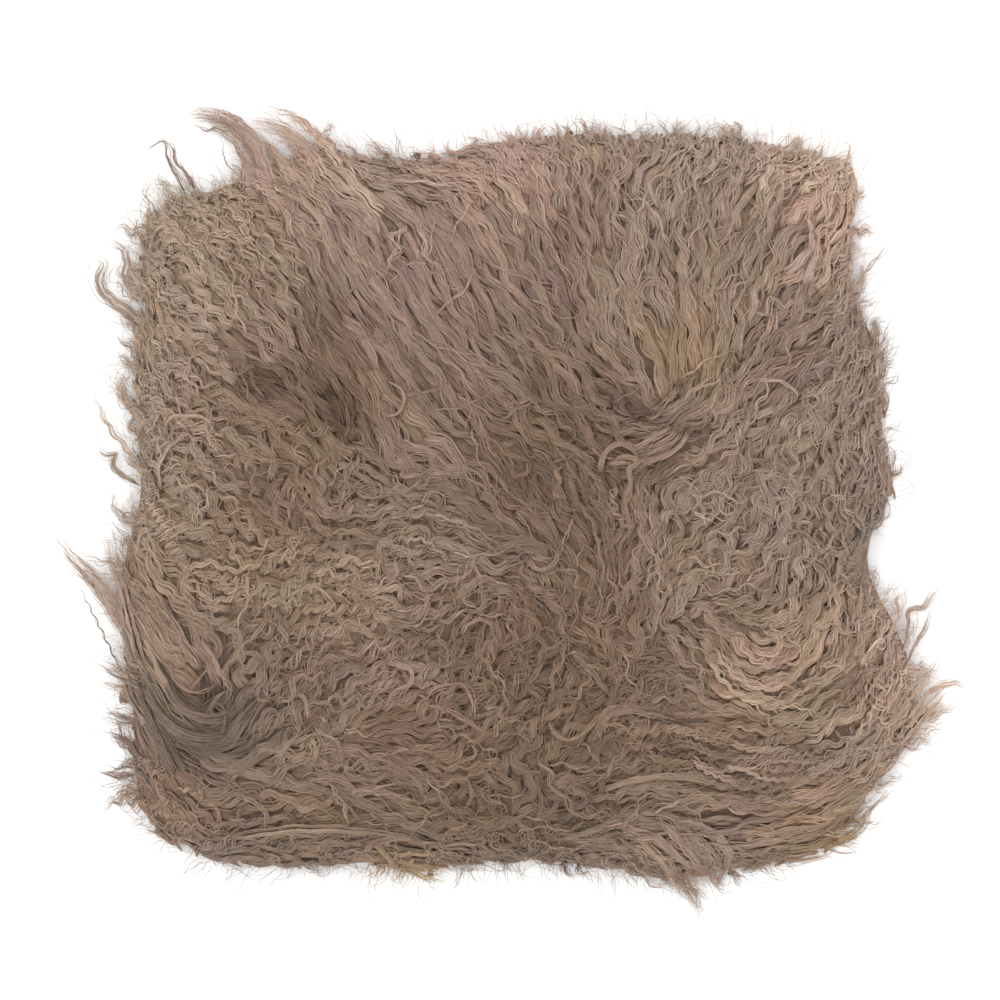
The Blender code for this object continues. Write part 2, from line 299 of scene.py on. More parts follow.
# The rim by compass angle: how far the wool hangs past the solid's edge, how far the rim
# locks lean from straight outwards, how far they reach, and how far they bend on the way
RIM_COLUMNS = ("place", "compass", "margin", "lean", "reach", "bend")
RIM = (
    ("right edge", 0, 17, 22, 7, 20),
    ("right edge above the middle", 12, 14, 30, 7, 15),
    ("right kink", 21, 17, 30, 10, 20),
    ("right wisps", 28, 11, 25, 12, -30),
    ("right edge, upper part", 36, 8, 15, 13, -35),
    ("far right corner", 44, 20, 5, 8, 30),
    ("past the far right corner", 51, 15, 20, 8, 25),
    ("two small tufts", 61, 8, 35, 11, 20),
    ("far edge, right", 72, 11, 20, 8, 20),
    ("far edge, middle", 90, 13, 20, 7, 25),
    ("far edge, left", 104, 11, 20, 10, 20),
    ("small wisps", 113, 9, 20, 15, 25),
    ("second sheaf", 121, 9, 13, 22, 28),
    ("long sheaf", 128, 6, 9, 24, 42),
    ("gap by the sheaf", 134, 6, -12, 14, 20),
    ("thin wisp", 138, 13, -16, 30, 30),
    ("far left corner", 143, 18, -6, 13, -20),
    ("left hooks", 150, 9, -16, 31, -38),
    ("below the left hooks", 156, 13, -24, 18, -30),
    ("left wisps", 163, 13, -36, 14, -25),
    ("left edge, middle", 172, 9, -40, 12, -20),
    ("left edge below the middle", 180, 3, -30, 5, -25),
    ("tips of the left sheaf", 190, 6, -52, 20, 12),
    ("left sheaf", 200, 8, -60, 9, 10),
    ("left edge, lower part", 210, 14, -62, 12, -12),
    ("near left corner, side", 218, 17, -40, 12, -25),
    ("near left corner", 226, 14, -25, 8, -20),
    ("near edge, left", 236, 12, -28, 9, -15),
    ("before the yellowish tuft", 246, 6, -10, 7, 10),
    ("yellowish tuft", 256, 16, 4, 10, 15),
    ("near edge, middle", 270, 9, 18, 7, 20),
    ("before the spike", 286, 9, 20, 9, 15),
    ("spike", 294, 16, 12, 24, 12),
    ("small curl", 301, 13, 30, 15, 35),
    ("near right corner", 312, 17, 40, 11, 20),
    ("lobe, near side", 322, 8, 42, 12, 15),
    ("lobe, tip", 332, 15, 38, 18, 10),
    ("lobe, far side", 340, 2, 55, 7, 15),
    ("past the lobe", 349, -5, 45, 2, 15),
)

# Which way the wool is combed, as runs of (x, y, heading) for each part of the pad
COMBING = {
    "far left": (
        (-210, 171, 98), (-227, 120, 105), (-227, 78, 100), (-191, 156, 132),
        (-161, 159, 128), (-131, 168, 125), (-176, 114, 138), (-146, 120, 118),
        (-119, 138, 108), (-125, 102, 112), (-197, 93, 135), (-161, 90, 145),
    ),
    "sheaves": (
        (-155, 216, 145), (-131, 198, 125), (-107, 201, 140), (-77, 201, 155), (-41, 202, 170),
    ),
    "upper middle": (
        (-71, 162, -62), (-41, 144, -65), (-11, 156, -58), (-53, 114, -64), (-23, 102, -62),
        (7, 120, -55), (-89, 102, -45), (-77, 66, -60), (-41, 60, -55), (-5, 66, -50),
    ),
    "fan": (
        (31, 180, 105), (22, 150, 115), (40, 120, 102), (37, 84, 125), (61, 72, 130),
        (55, 162, 96), (67, 108, 103), (85, 96, 112), (85, 162, 92), (109, 120, 95),
        (118, 162, 88), (118, 84, 88), (136, 120, 82), (139, 168, 72), (157, 156, 62),
        (175, 174, 50), (169, 126, 42), (157, 96, 50), (187, 96, 32), (175, 78, 25),
        (199, 144, 55), (205, 180, 60),
    ),
    "far edge right": (
        (31, 210, 110), (79, 210, 55), (115, 210, 50), (151, 201, 40), (187, 201, 20),
    ),
    "right": (
        (220, 96, 80), (223, 48, 82), (223, 0, 85), (214, -36, 98), (199, 60, 52),
        (169, 54, 42), (139, 60, 30), (193, 18, 65), (163, 18, 60), (139, 30, 20),
        (169, -24, 60), (145, -12, 65), (139, -42, 50), (199, -42, 95), (115, -54, 30),
    ),
    "middle": (
        (31, 48, -38), (55, 36, -30), (88, 36, 18), (7, 36, -50), (19, 6, -55),
        (49, 0, -65), (70, -18, -105), (73, -48, -120), (25, -42, -70), (-5, -36, -20),
        (-47, -6, -15), (-83, -6, -5), (-89, 24, -60), (-41, 24, -35),
    ),
    "left middle": (
        (-131, 0, 95), (-155, -6, 135), (-185, -6, 128), (-215, 18, 125), (-227, -18, 108),
        (-203, 42, 140), (-167, 48, 155), (-152, 76, 150), (-140, 58, 150), (-128, 40, 140),
        (-107, 40, 112),
    ),
    "pale band": (
        (-143, -54, 20), (-107, -51, 0), (-65, -54, -10), (-179, -48, 150),
        (-125, -78, 20), (-77, -84, -5),
    ),
    "left sheaf": (
        (-251, -60, 120), (-239, -90, 115), (-227, -66, 117), (-215, -108, 112),
        (-209, -72, 122), (-194, -102, 145),
    ),
    "near left": (
        (-215, -144, -60), (-206, -168, -50), (-191, -147, -38), (-167, -132, 40),
        (-164, -102, 78), (-131, -135, 35), (-89, -126, 22), (-101, -162, -25),
        (-65, -168, -28), (-161, -174, 5), (-185, -198, -10), (-137, -204, 6),
        (-89, -204, -4), (-41, -192, -17), (-125, -219, 0),
    ),
    "near middle": (
        (-17, -72, -115), (-5, -108, 28), (31, -120, 45), (49, -150, 35), (-17, -144, 10),
        (7, -168, -80), (55, -174, 0), (19, -198, -5), (55, -84, -75), (79, -108, 30),
    ),
    "swirl": (
        (120, -84, -62), (130, -84, -58), (140, -84, -48), (124, -102, -45), (134, -100, -38),
        (146, -98, -15), (132, -115, -28), (145, -110, -12), (156, -101, 0), (150, -122, -6),
        (162, -113, 8), (168, -98, 38), (176, -108, 32), (174, -88, 58), (186, -96, 52),
        (172, -122, 22), (192, -82, 66), (158, -84, 5),
    ),
    "near right": (
        (217, -90, 55), (241, -108, 48), (247, -90, 60), (235, -144, 52), (217, -174, 45),
        (199, -192, 30), (199, -144, 35), (151, -147, -10), (115, -147, -5), (79, -147, 0),
        (79, -174, -4), (139, -174, -4), (175, -168, 8), (115, -192, 4), (163, -198, 10),
        (91, -216, -18), (115, -228, -30),
    ),
}

# The hues that the style table names
TINTS = {
    "base": (1.00, 1.00, 1.00),
    "light": (1.03, 1.07, 1.12),
    "pink": (1.06, 1.02, 1.09),
    "straw": (0.97, 1.02, 1.01),
    "blond": (1.05, 1.09, 1.02),
    "yellow": (1.10, 1.05, 0.80),
    "tan": (1.03, 1.01, 0.98),
    "brown": (0.92, 0.85, 0.77),
    "grey": (0.98, 1.03, 1.07),
    "lavender": (0.97, 0.97, 1.03),
}

# How the wool looks from place to place. Crimp and frizz are how far a strand swings, wave
# is the length of one swing, wander and curl are how far a lock turns along and at its tip.
STYLE_COLUMNS = (
    "place", "x", "y", "spread", "crimp", "wave", "wander", "curl", "frizz", "length",
    "width", "tone", "tint",
)
STYLES = (
    ("far left corner", -180, 150, 55, 1.7, 14, 15, 30, 0.5, 60, 6, 1.11, "straw"),
    ("long sheaf", -120, 195, 35, 0.9, 18, 14, 25, 0.4, 80, 9, 1.14, "pink"),
    ("parted locks", -55, 120, 50, 0.9, 24, 12, 25, 0.4, 80, 6, 0.80, "pink"),
    ("upper middle", 10, 118, 45, 1.0, 22, 14, 25, 0.4, 75, 7, 0.71, "pink"),
    ("far edge", -10, 196, 32, 1.0, 18, 20, 35, 0.6, 66, 8, 1.21, "pink"),
    ("fan", 115, 125, 58, 1.15, 19, 22, 40, 0.6, 66, 8, 0.93, "light"),
    ("yellowish spot", 104, 92, 30, 0.7, 20, 14, 20, 0.5, 65, 8, 0.83, "yellow"),
    ("far right corner", 200, 180, 40, 1.2, 16, 22, 50, 0.7, 60, 7, 1.46, "light"),
    ("right edge", 220, 60, 40, 1.4, 17, 26, 50, 0.5, 60, 8, 1.05, "light"),
    ("right curls", 165, 0, 50, 2.0, 18, 40, 80, 0.4, 62, 6, 0.86, "light"),
    ("greyish spot", 157, 35, 22, 2.0, 18, 40, 80, 0.5, 60, 6, 0.92, "grey"),
    ("middle", 20, 34, 46, 0.8, 18, 26, 40, 1.0, 60, 8, 0.66, "brown"),
    ("grey sweep", -32, -14, 24, 0.6, 22, 14, 20, 0.5, 72, 9, 0.78, "lavender"),
    ("smooth brown", -78, -140, 22, 0.6, 20, 14, 20, 0.5, 70, 9, 0.72, "brown"),
    ("grey parting", -100, 134, 20, 0.6, 22, 12, 25, 0.4, 70, 8, 0.84, "lavender"),
    ("brown valley", -128, 66, 22, 0.6, 20, 18, 25, 0.8, 62, 9, 0.66, "brown"),
    ("soft valley", -100, 65, 32, 0.6, 24, 22, 25, 0.5, 66, 9, 0.80, "brown"),
    ("left curls", -205, 5, 42, 1.5, 14, 40, 90, 0.7, 55, 6, 1.02, "straw"),
    ("brown fuzz", -150, -12, 32, 0.9, 12, 40, 60, 1.3, 50, 8, 0.80, "brown"),
    ("middle left", -60, -20, 42, 1.7, 18, 36, 70, 0.7, 60, 7, 0.82, "base"),
    ("pale band, left", -158, -52, 28, 1.9, 9, 44, 90, 0.5, 48, 5, 0.92, "blond"),
    ("pale band, right", -100, -58, 30, 1.9, 9, 44, 90, 0.5, 48, 5, 0.98, "blond"),
    ("rolling curls, left", -140, -112, 30, 2.3, 15, 46, 110, 0.6, 50, 5, 0.78, "base"),
    ("rolling curls, right", -78, -112, 28, 2.5, 16, 46, 110, 0.5, 52, 5, 0.82, "pink"),
    ("small blond curls", -116, -150, 16, 1.8, 7, 40, 80, 0.6, 44, 4, 0.84, "blond"),
    ("near left corner", -204, -178, 20, 1.6, 8, 36, 70, 0.8, 58, 6, 0.97, "brown"),
    ("yellowish tuft", -62, -224, 14, 0.5, 20, 12, 20, 0.4, 60, 8, 1.05, "yellow"),
    ("left sheaf", -225, -85, 42, 0.6, 22, 11, 16, 0.5, 90, 8, 0.91, "tan"),
    ("combed hollow", -182, -138, 34, 0.3, 30, 10, 15, 0.3, 75, 10, 0.48, "lavender"),
    ("near left", -125, -190, 55, 1.1, 16, 24, 40, 0.7, 74, 7, 0.70, "tan"),
    ("tangle", 15, -120, 58, 1.8, 17, 40, 90, 0.8, 62, 6, 0.68, "brown"),
    ("swirl", 152, -102, 38, 0.9, 14, 20, 40, 0.5, 52, 5, 1.16, "base"),
    ("crimped locks, right", 158, -156, 24, 1.4, 6.5, 24, 45, 0.4, 48, 4, 0.85, "base"),
    ("crimped locks, left", 98, -150, 22, 1.4, 6.5, 26, 50, 0.4, 46, 4, 0.75, "brown"),
    ("chestnut crimped locks", 214, -106, 15, 1.4, 6, 10, 20, 0.2, 46, 4, 0.80, "brown"),
    ("brown lock right of the fan", 165, 84, 24, 0.9, 18, 16, 30, 0.4, 60, 8, 0.76, "pink"),
    ("tan corner", 174, -198, 20, 0.4, 22, 10, 12, 0.4, 70, 9, 0.95, "yellow"),
    ("combed bundle", 112, -190, 42, 0.9, 16, 18, 25, 0.6, 78, 8, 0.80, "base"),
    ("spike", 114, -228, 17, 0.8, 12, 22, 40, 0.8, 62, 6, 1.06, "blond"),
    ("lobe", 235, -110, 36, 1.1, 14, 18, 40, 0.4, 66, 6, 1.36, "light"),
)

# Dips between the larger clumps of wool: place, x and y of a line's start, x and y of its
# end, and the dip's width and depth
HOLLOWS = (
    ("above the knot, left", 8, 74, 40, 42, 7, 4.0),
    ("above the knot, right", 60, 62, 98, 46, 6, 5.0),
    ("right of the knot", 104, 40, 140, 20, 6, 3.5),
    ("soft valley's far side", -152, 66, -106, 67, 7, 5.0),
    ("soft valley's end", -104, 62, -97, 38, 5, 5.0),
    ("parted locks, left", -112, 130, -104, 98, 7, 3.5),
    ("parted locks, middle", -88, 118, -70, 98, 8, 2.5),
    ("parted locks, right", -34, 114, -16, 96, 7, 3.0),
    ("upper middle", -48, 66, -38, 50, 6, 3.0),
    ("far edge of the swirl", 112, -76, 182, -54, 6, 4.5),
    ("right edge's dip", 184, -24, 196, -48, 8, 3.5),
    ("right locks' dip", 142, 96, 176, 70, 9, 2.5),
    ("brown fuzz", -134, -6, -110, -24, 9, 2.5),
    ("below the pale band", -60, -78, -36, -98, 7, 3.5),
    ("tangle, left", -38, -72, -30, -112, 6, 3.5),
    ("tangle, middle", 38, -94, 64, -114, 8, 3.0),
    ("tangle, near side", 12, -166, 40, -188, 8, 3.5),
    ("combed hollow, left", -186, -100, -166, -124, 6, 3.5),
    ("combed hollow, right", -150, -96, -112, -128, 9, 2.5),
    ("near edge, left of the tangle", -60, -176, -4, -196, 8, 3.0),
    ("near edge, right of the tangle", 52, -176, 104, -190, 7, 3.0),
    ("left edge of the sheaf", -214, -60, -200, -86, 6, 2.0),
)

# Locks and hairs that stand out in the wool: each one's way from its root to its tip
LANDMARK_COLUMNS = ("name", "strands", "width", "crimp", "wave", "tone", "layer", "route")
LANDMARKS = (
    ("long sheaf", 64, 17, 0.5, 15, 1.0, 2,
     ((-146, 172), (-151, 192), (-157, 211), (-166, 225), (-184, 232), (-196, 231))),
    ("long sheaf, far strands", 44, 12, 0.5, 13, 1.0, 4,
     ((-138, 180), (-147, 205), (-154, 220), (-165, 232), (-181, 237), (-198, 235))),
    ("wisps of the long sheaf", 9, 5, 0.9, 11, 0.9, 3,
     ((-160, 219), (-172, 228), (-185, 225), (-196, 231))),
    ("second sheaf", 48, 13, 0.5, 14, 1.0, 3,
     ((-108, 186), (-116, 205), (-128, 220), (-146, 229), (-160, 232))),
    ("second sheaf, far strands", 30, 9, 0.7, 12, 1.05, 4,
     ((-98, 192), (-108, 210), (-122, 226), (-136, 235), (-152, 237))),
    ("between the sheaves", 40, 11, 0.5, 14, 1.0, 2,
     ((-126, 184), (-134, 200), (-144, 214), (-157, 224))),
    ("corner tuft", 40, 12, 0.6, 11, 1.0, 2,
     ((-192, 146), (-203, 162), (-211, 176), (-209, 190))),
    ("lower left corner tuft", 30, 10, 0.6, 11, 0.95, 2,
     ((-212, 8), (-222, 18), (-231, 24), (-233, 32))),
    ("curls past the sheaves", 10, 5, 1.4, 8, 0.95, 3,
     ((-100, 203), (-108, 214), (-111, 224), (-104, 229), (-113, 233))),
    ("small tuft of the far edge", 14, 6, 0.7, 11, 1.0, 3,
     ((-58, 194), (-66, 204), (-74, 214), (-84, 217))),
    ("thin wisp, left strands", 9, 2.2, 0.3, 12, 0.7, 2,
     ((-196, 184), (-201, 196), (-208, 208), (-208, 217), (-212, 220), (-222, 211))),
    ("thin wisp, right strands", 9, 2.2, 0.3, 12, 0.72, 3,
     ((-190, 186), (-195, 198), (-204, 207), (-203, 215), (-208, 219), (-216, 221))),
    ("thin wisp's foot", 10, 7, 0.4, 12, 0.9, 2, ((-186, 180), (-193, 192), (-201, 202), (-206, 207))),
    ("dark hook", 16, 4.5, 0.3, 12, 0.78, 3,
     ((-163, 184), (-160, 192), (-161, 201), (-167, 204), (-172, 203))),
    ("dark hook's tail", 3, 1.0, 0.3, 10, 0.75, 3,
     ((-166, 200), (-173, 206), (-173, 216), (-177, 225))),
    ("big left hook", 38, 9, 0.3, 12, 0.94, 3,
     ((-224, 108), (-234, 116), (-243, 122), (-250, 131), (-248, 139), (-245, 145), (-253, 148))),
    ("left hook above", 24, 6, 0.4, 10, 0.92, 3,
     ((-219, 121), (-228, 128), (-234, 135), (-232, 146), (-235, 154), (-243, 158))),
    ("left tuft", 24, 8, 0.4, 12, 1.0, 2, ((-210, 120), (-219, 131), (-228, 140), (-231, 150))),
    ("upper left tuft", 18, 6, 0.6, 9, 1.05, 2, ((-209, 124), (-217, 136), (-218, 146), (-215, 154))),
    ("lower left tuft", 40, 10, 0.5, 12, 1.05, 2,
     ((-210, 36), (-222, 50), (-233, 61), (-237, 71), (-233, 80))),
    ("pale left wisps", 7, 5, 0.8, 12, 1.2, 3,
     ((-222, 20), (-234, 33), (-243, 44), (-249, 56), (-253, 67))),
    ("crisp left curl", 20, 5, 0.2, 9, 0.85, 3,
     ((-222, 8), (-232, 14), (-240, 19), (-240, 26), (-237, 29), (-245, 27), (-249, 31), (-246, 35))),
    ("left sheaf, long tips", 52, 18, 0.35, 22, 1.04, 4,
     ((-222, -108), (-231, -82), (-243, -61), (-256, -45), (-267, -35), (-273, -31))),
    ("left sheaf, tips", 34, 13, 0.35, 22, 1.06, 5,
     ((-219, -104), (-227, -74), (-234, -50), (-241, -34), (-241, -24), (-247, -20))),
    ("left sheaf, far wisps", 9, 7, 0.6, 14, 1.25, 3,
     ((-246, -56), (-262, -38), (-272, -28), (-277, -18))),
    ("lone dark strand", 4, 1.2, 0.7, 9, 0.66, 3,
     ((-236, -104), (-244, -87), (-251, -73), (-256, -63), (-262, -53), (-258, -48))),
    ("dark edge of the hollow", 40, 12, 0.4, 18, 0.66, 4,
     ((-196, -172), (-206, -154), (-216, -134), (-224, -112), (-230, -90))),
    ("near left wisp", 6, 3, 1.0, 8, 0.9, 2, ((-208, -168), (-223, -157), (-234, -151), (-243, -144))),
    ("left ring", 4, 1.2, 0.2, 9, 0.8, 2,
     ((-222, -14), (-229, -8), (-235, -8), (-234, -12), (-229, -11), (-231, -7))),
    ("second left ring", 4, 1.2, 0.2, 9, 0.8, 2,
     ((-216, -20), (-224, -14), (-229, -17), (-226, -22), (-222, -18), (-226, -14))),
    ("pale strand of the hollow", 8, 2.2, 0.4, 9, 1.3, 7,
     ((-187, -80), (-180, -87), (-174, -95), (-171, -104), (-165, -113), (-169, -126))),
    ("arc of the hollow", 7, 2.0, 0.2, 14, 1.28, 7,
     ((-203, -99), (-199, -107), (-192, -113), (-184, -114), (-176, -110), (-173, -105))),
    ("hook of the hollow", 7, 2.2, 0.2, 12, 1.22, 7,
     ((-164, -112), (-172, -116), (-178, -122), (-176, -128), (-171, -132))),
    ("smooth arc, outer", 30, 10, 0.2, 24, 1.0, 5,
     ((-221, -104), (-214, -122), (-201, -136), (-184, -143), (-160, -141))),
    ("smooth arc, inner", 26, 9, 0.2, 24, 1.06, 6,
     ((-206, -104), (-203, -116), (-194, -126), (-180, -131), (-162, -128))),
    ("knot, outer loop", 26, 5.5, 0.2, 12, 1.06, 5,
     ((56, 12), (55, 20), (57, 27), (62, 32), (69, 33), (75, 29), (78, 22), (77, 17))),
    ("knot, inner loop", 20, 4.8, 0.2, 12, 1.08, 6,
     ((60, 17), (63, 23), (69, 26), (75, 25), (77, 21), (72, 20), (71, 16), (73, 11), (71, 6), (75, 1))),
    ("knot, band", 14, 3.6, 0.2, 12, 1.08, 7, ((58, 21), (64, 22), (71, 23), (77, 22))),
    ("thick lock, near side", 26, 7, 0.2, 20, 1.08, 7,
     ((107, 45), (103, 36), (96, 29), (86, 26), (77, 22), (72, 14))),
    ("thick lock, middle", 26, 7, 0.2, 20, 1.12, 8,
     ((104, 43), (98, 36), (90, 32), (81, 29), (74, 27))),
    ("thick lock, far side", 24, 6, 0.2, 20, 1.1, 8,
     ((100, 44), (92, 40), (84, 36), (78, 32), (73, 30))),
    ("loose loop", 4, 1.6, 0.3, 9, 1.1, 7,
     ((97, -8), (104, -8), (112, -4), (116, 2), (112, 7), (104, 12), (98, 17))),
    ("loose arch", 4, 1.6, 0.3, 9, 1.1, 7,
     ((113, -3), (118, 4), (124, 6), (130, 3), (135, -1), (140, -2), (146, 4))),
    ("loose ring", 3, 1.4, 0.2, 9, 1.1, 7,
     ((138, -1), (134, -8), (128, -9), (125, -4), (127, 1), (133, 2), (137, -3), (135, -10))),
    ("loose straight hair", 3, 0.8, 0.3, 12, 1.4, 9, ((108, -5), (114, -9), (120, -13), (128, -18))),
    ("wisp of the lobe", 16, 4, 0.2, 14, 0.86, 2,
     ((236, -112), (243, -97), (249, -87), (254, -80), (258, -68), (258, -60))),
    ("hooked wisp of the lobe", 16, 4, 0.2, 12, 0.88, 2,
     ((236, -96), (242, -84), (244, -74), (243, -68), (248, -65), (253, -67), (257, -60), (264, -52))),
    ("third wisp of the lobe", 12, 3.4, 0.2, 12, 0.92, 2,
     ((224, -88), (231, -79), (237, -73), (238, -66), (236, -61), (240, -57), (246, -56))),
    ("tip of the lobe", 32, 9, 0.4, 12, 1.0, 2,
     ((236, -138), (247, -126), (256, -116), (265, -112), (273, -110), (280, -113))),
    ("near tip of the lobe", 40, 11, 0.4, 12, 1.06, 2,
     ((230, -152), (242, -142), (253, -131), (262, -120), (270, -113))),
    ("far tip of the lobe", 10, 4, 0.5, 10, 1.0, 3,
     ((236, -118), (245, -111), (253, -107), (260, -103), (263, -97))),
    ("small spiral", 5, 1.1, 0.1, 9, 1.3, 6,
     ((212, -94), (217, -88), (222, -83), (226, -85), (226, -88), (223, -89), (221, -87), (223, -85))),
    ("small ring of the right edge", 4, 1.1, 0.1, 9, 0.85, 3,
     ((212, -54), (218, -49), (220, -44), (224, -45), (223, -49), (220, -49), (221, -44))),
    ("spike, long side", 50, 14, 0.4, 16, 1.04, 2,
     ((72, -196), (88, -211), (101, -226), (112, -240), (119, -252))),
    ("spike, middle", 60, 20, 0.4, 16, 1.06, 3, ((84, -194), (98, -208), (111, -222), (119, -238))),
    ("spike, short side", 50, 16, 0.4, 16, 1.04, 2,
     ((104, -196), (117, -208), (125, -219), (124, -234))),
    ("spike, right side", 50, 16, 0.4, 14, 1.04, 2,
     ((120, -194), (132, -208), (136, -220), (126, -238))),
    ("curl by the spike", 5, 1.8, 0.2, 10, 0.8, 2,
     ((124, -204), (132, -214), (136, -222), (137, -229), (140, -236), (142, -232))),
    ("loop by the spike", 2, 0.5, 0.2, 10, 0.75, 2,
     ((132, -210), (140, -216), (150, -219), (158, -218), (152, -224), (145, -227), (139, -228))),
    ("yellowish tuft", 14, 7, 0.3, 12, 1.08, 2, ((-84, -204), (-74, -216), (-68, -225), (-64, -232))),
    ("first far tuft", 9, 4, 0.4, 10, 1.05, 2, ((100, 208), (98, 219), (95, 226), (90, 231))),
    ("second far tuft", 9, 4, 0.4, 10, 1.05, 2, ((124, 208), (128, 219), (131, 227), (137, 233))),
    ("far right curl", 8, 3, 0.6, 8, 1.0, 3,
     ((196, 196), (204, 204), (209, 212), (206, 218), (200, 215))),
    ("right wisp", 6, 2.6, 0.5, 11, 0.95, 2,
     ((202, 116), (213, 132), (221, 144), (231, 153), (235, 162))),
    ("lower right wisp", 6, 2.6, 0.4, 11, 0.9, 2, ((216, 76), (224, 88), (229, 98), (233, 110))),
    ("blond wave", 16, 6, 1.2, 12, 1.04, 5,
     ((-196, -46), (-180, -36), (-165, -44), (-150, -40), (-138, -30))),
    ("pale lock of the near edge", 16, 6, 0.5, 16, 1.02, 4,
     ((28, -206), (42, -200), (56, -196), (70, -184))),
    ("smooth near bundle", 34, 9, 0.3, 26, 1.06, 6,
     ((-176, -206), (-140, -198), (-104, -196), (-70, -200), (-44, -210))),
    ("swirl, outer arc", 20, 9, 1.1, 12, 1.04, 4,
     ((114, -84), (121, -103), (137, -119), (158, -124), (178, -114), (189, -95))),
    ("swirl, middle arc", 18, 8, 1.0, 12, 1.04, 4,
     ((124, -80), (130, -96), (142, -108), (158, -111), (172, -101), (179, -86))),
    ("swirl, inner arc", 12, 6, 0.9, 11, 1.06, 5,
     ((136, -76), (140, -90), (149, -98), (159, -99), (167, -91), (169, -80))),
    ("swirl, curled end", 10, 3, 0.4, 12, 1.12, 6,
     ((143, -84), (150, -92), (159, -92), (163, -84), (157, -78), (150, -82))),
    ("first crimped lock", 12, 5.6, 0.56, 6.4, 1.1, 4,
     ((86, -138), (102, -136), (122, -143), (138, -146))),
    ("second crimped lock", 12, 5.6, 0.54, 6.0, 0.9, 5,
     ((92, -149), (106, -143), (124, -153), (144, -152))),
    ("third crimped lock", 12, 5.0, 0.52, 6.8, 1.16, 5,
     ((128, -142), (144, -149), (160, -148), (176, -153))),
    ("fourth crimped lock", 12, 6.0, 0.58, 6.2, 0.96, 4,
     ((78, -146), (90, -156), (110, -156), (126, -164))),
    ("fifth crimped lock", 12, 5.6, 0.54, 6.6, 1.04, 5,
     ((150, -158), (166, -154), (182, -157), (198, -146))),
    ("sixth crimped lock", 12, 5.0, 0.54, 6.2, 1.18, 5,
     ((124, -160), (140, -161), (154, -169), (172, -166))),
    ("seventh crimped lock", 12, 6.0, 0.52, 6.8, 0.92, 4,
     ((174, -166), (188, -160), (200, -156), (212, -144))),
    ("eighth crimped lock", 12, 5.6, 0.58, 6.4, 1.06, 5,
     ((106, -150), (116, -160), (134, -168), (148, -174))),
    ("first chestnut lock", 7, 2.4, 0.9, 5.8, 0.92, 4,
     ((196, -128), (206, -114), (217, -99), (228, -84))),
    ("second chestnut lock", 7, 2.4, 0.9, 5.6, 1.1, 5,
     ((202, -132), (213, -117), (223, -102), (234, -86))),
    ("third chestnut lock", 7, 2.4, 0.9, 6.0, 0.95, 4,
     ((210, -134), (221, -119), (231, -104), (240, -90))),
    ("white wisp", 6, 1.8, 0.9, 8, 1.3, 6,
     ((-65, -28), (-56, -22), (-47, -25), (-41, -31), (-35, -37))),
    ("pale double bend", 16, 3.4, 0.3, 14, 1.16, 6,
     ((-74, -98), (-64, -97), (-56, -102), (-57, -110), (-66, -113), (-72, -119), (-66, -127))),
    ("pale sweep of the middle", 20, 6, 0.5, 18, 1.1, 5,
     ((34, -86), (44, -96), (54, -108), (66, -122))),
    ("bowl curl", 18, 5, 0.3, 14, 1.12, 5,
     ((23, -127), (27, -139), (36, -144), (46, -139), (52, -131), (58, -126))),
    ("smooth whorl", 34, 10, 0.4, 16, 1.0, 4,
     ((58, -147), (53, -138), (57, -127), (68, -123), (84, -125), (106, -131))),
    ("long lock of the near edge", 30, 8, 0.4, 20, 1.06, 5,
     ((48, -178), (68, -168), (100, -164), (138, -173))),
    ("straw wisp", 10, 4, 0.3, 16, 1.14, 5, ((-43, -121), (-30, -128), (-16, -136), (-3, -143))),
    ("ringlets under the knot", 14, 3.6, 1.6, 9, 1.1, 5,
     ((66, 12), (62, 2), (64, -8), (70, -16), (76, -22))),
    ("pale bend by the whorl", 12, 3.4, 0.3, 12, 1.12, 5,
     ((-30, -84), (-26, -75), (-17, -70), (-8, -74), (-6, -82))),
    ("grey wisp of the middle", 10, 4, 0.8, 14, 1.12, 5,
     ((-58, -4), (-42, -9), (-26, -13), (-12, -22), (-2, -33))),
    ("ringlet rope, far", 14, 4, 2.0, 7, 1.15, 5, ((-222, 4), (-213, -6), (-204, -18), (-192, -28))),
    ("ringlet rope, near", 14, 4, 2.0, 7, 1.05, 5,
     ((-216, -12), (-206, -22), (-196, -33), (-186, -42))),
)


def columns(names, table):
    """Turns a table into a dictionary of its columns."""
    return {name: [row[index] for row in table] for index, name in enumerate(names)}


def unit(degrees):
    """How far a step of one goes along x and along y, at a heading."""
    angle = np.radians(degrees)
    return np.cos(angle), np.sin(angle)


def heading_of(vectors):
    """The heading of vectors, which is also the compass angle of places."""
    return np.degrees(np.arctan2(vectors[..., 1], vectors[..., 0]))


def cross(a, b):
    """The vectors that stand square to two others."""
    return np.stack([
        a[..., 1] * b[..., 2] - a[..., 2] * b[..., 1],
        a[..., 2] * b[..., 0] - a[..., 0] * b[..., 2],
        a[..., 0] * b[..., 1] - a[..., 1] * b[..., 0],
    ], axis=-1)


def normalized(a):
    """Vectors with the length of one."""
    return a / (np.linalg.norm(a, axis=-1, keepdims=True) + 1e-9)


def those(strands, chosen):
    """The chosen ones out of a dictionary of columns."""
    return {key: value[chosen] for key, value in strands.items()}


def blur(grid, passes):
    """Evens out a grid, each pass with its nearest neighbours."""
    for _ in range(passes):
        padded = np.pad(grid, 1, mode="edge")
        grid = (
            4 * grid + 2 * (padded[:-2, 1:-1] + padded[2:, 1:-1])
            + 2 * (padded[1:-1, :-2] + padded[1:-1, 2:])
            + padded[:-2, :-2] + padded[:-2, 2:] + padded[2:, :-2] + padded[2:, 2:]
        ) / 16.0
    return grid


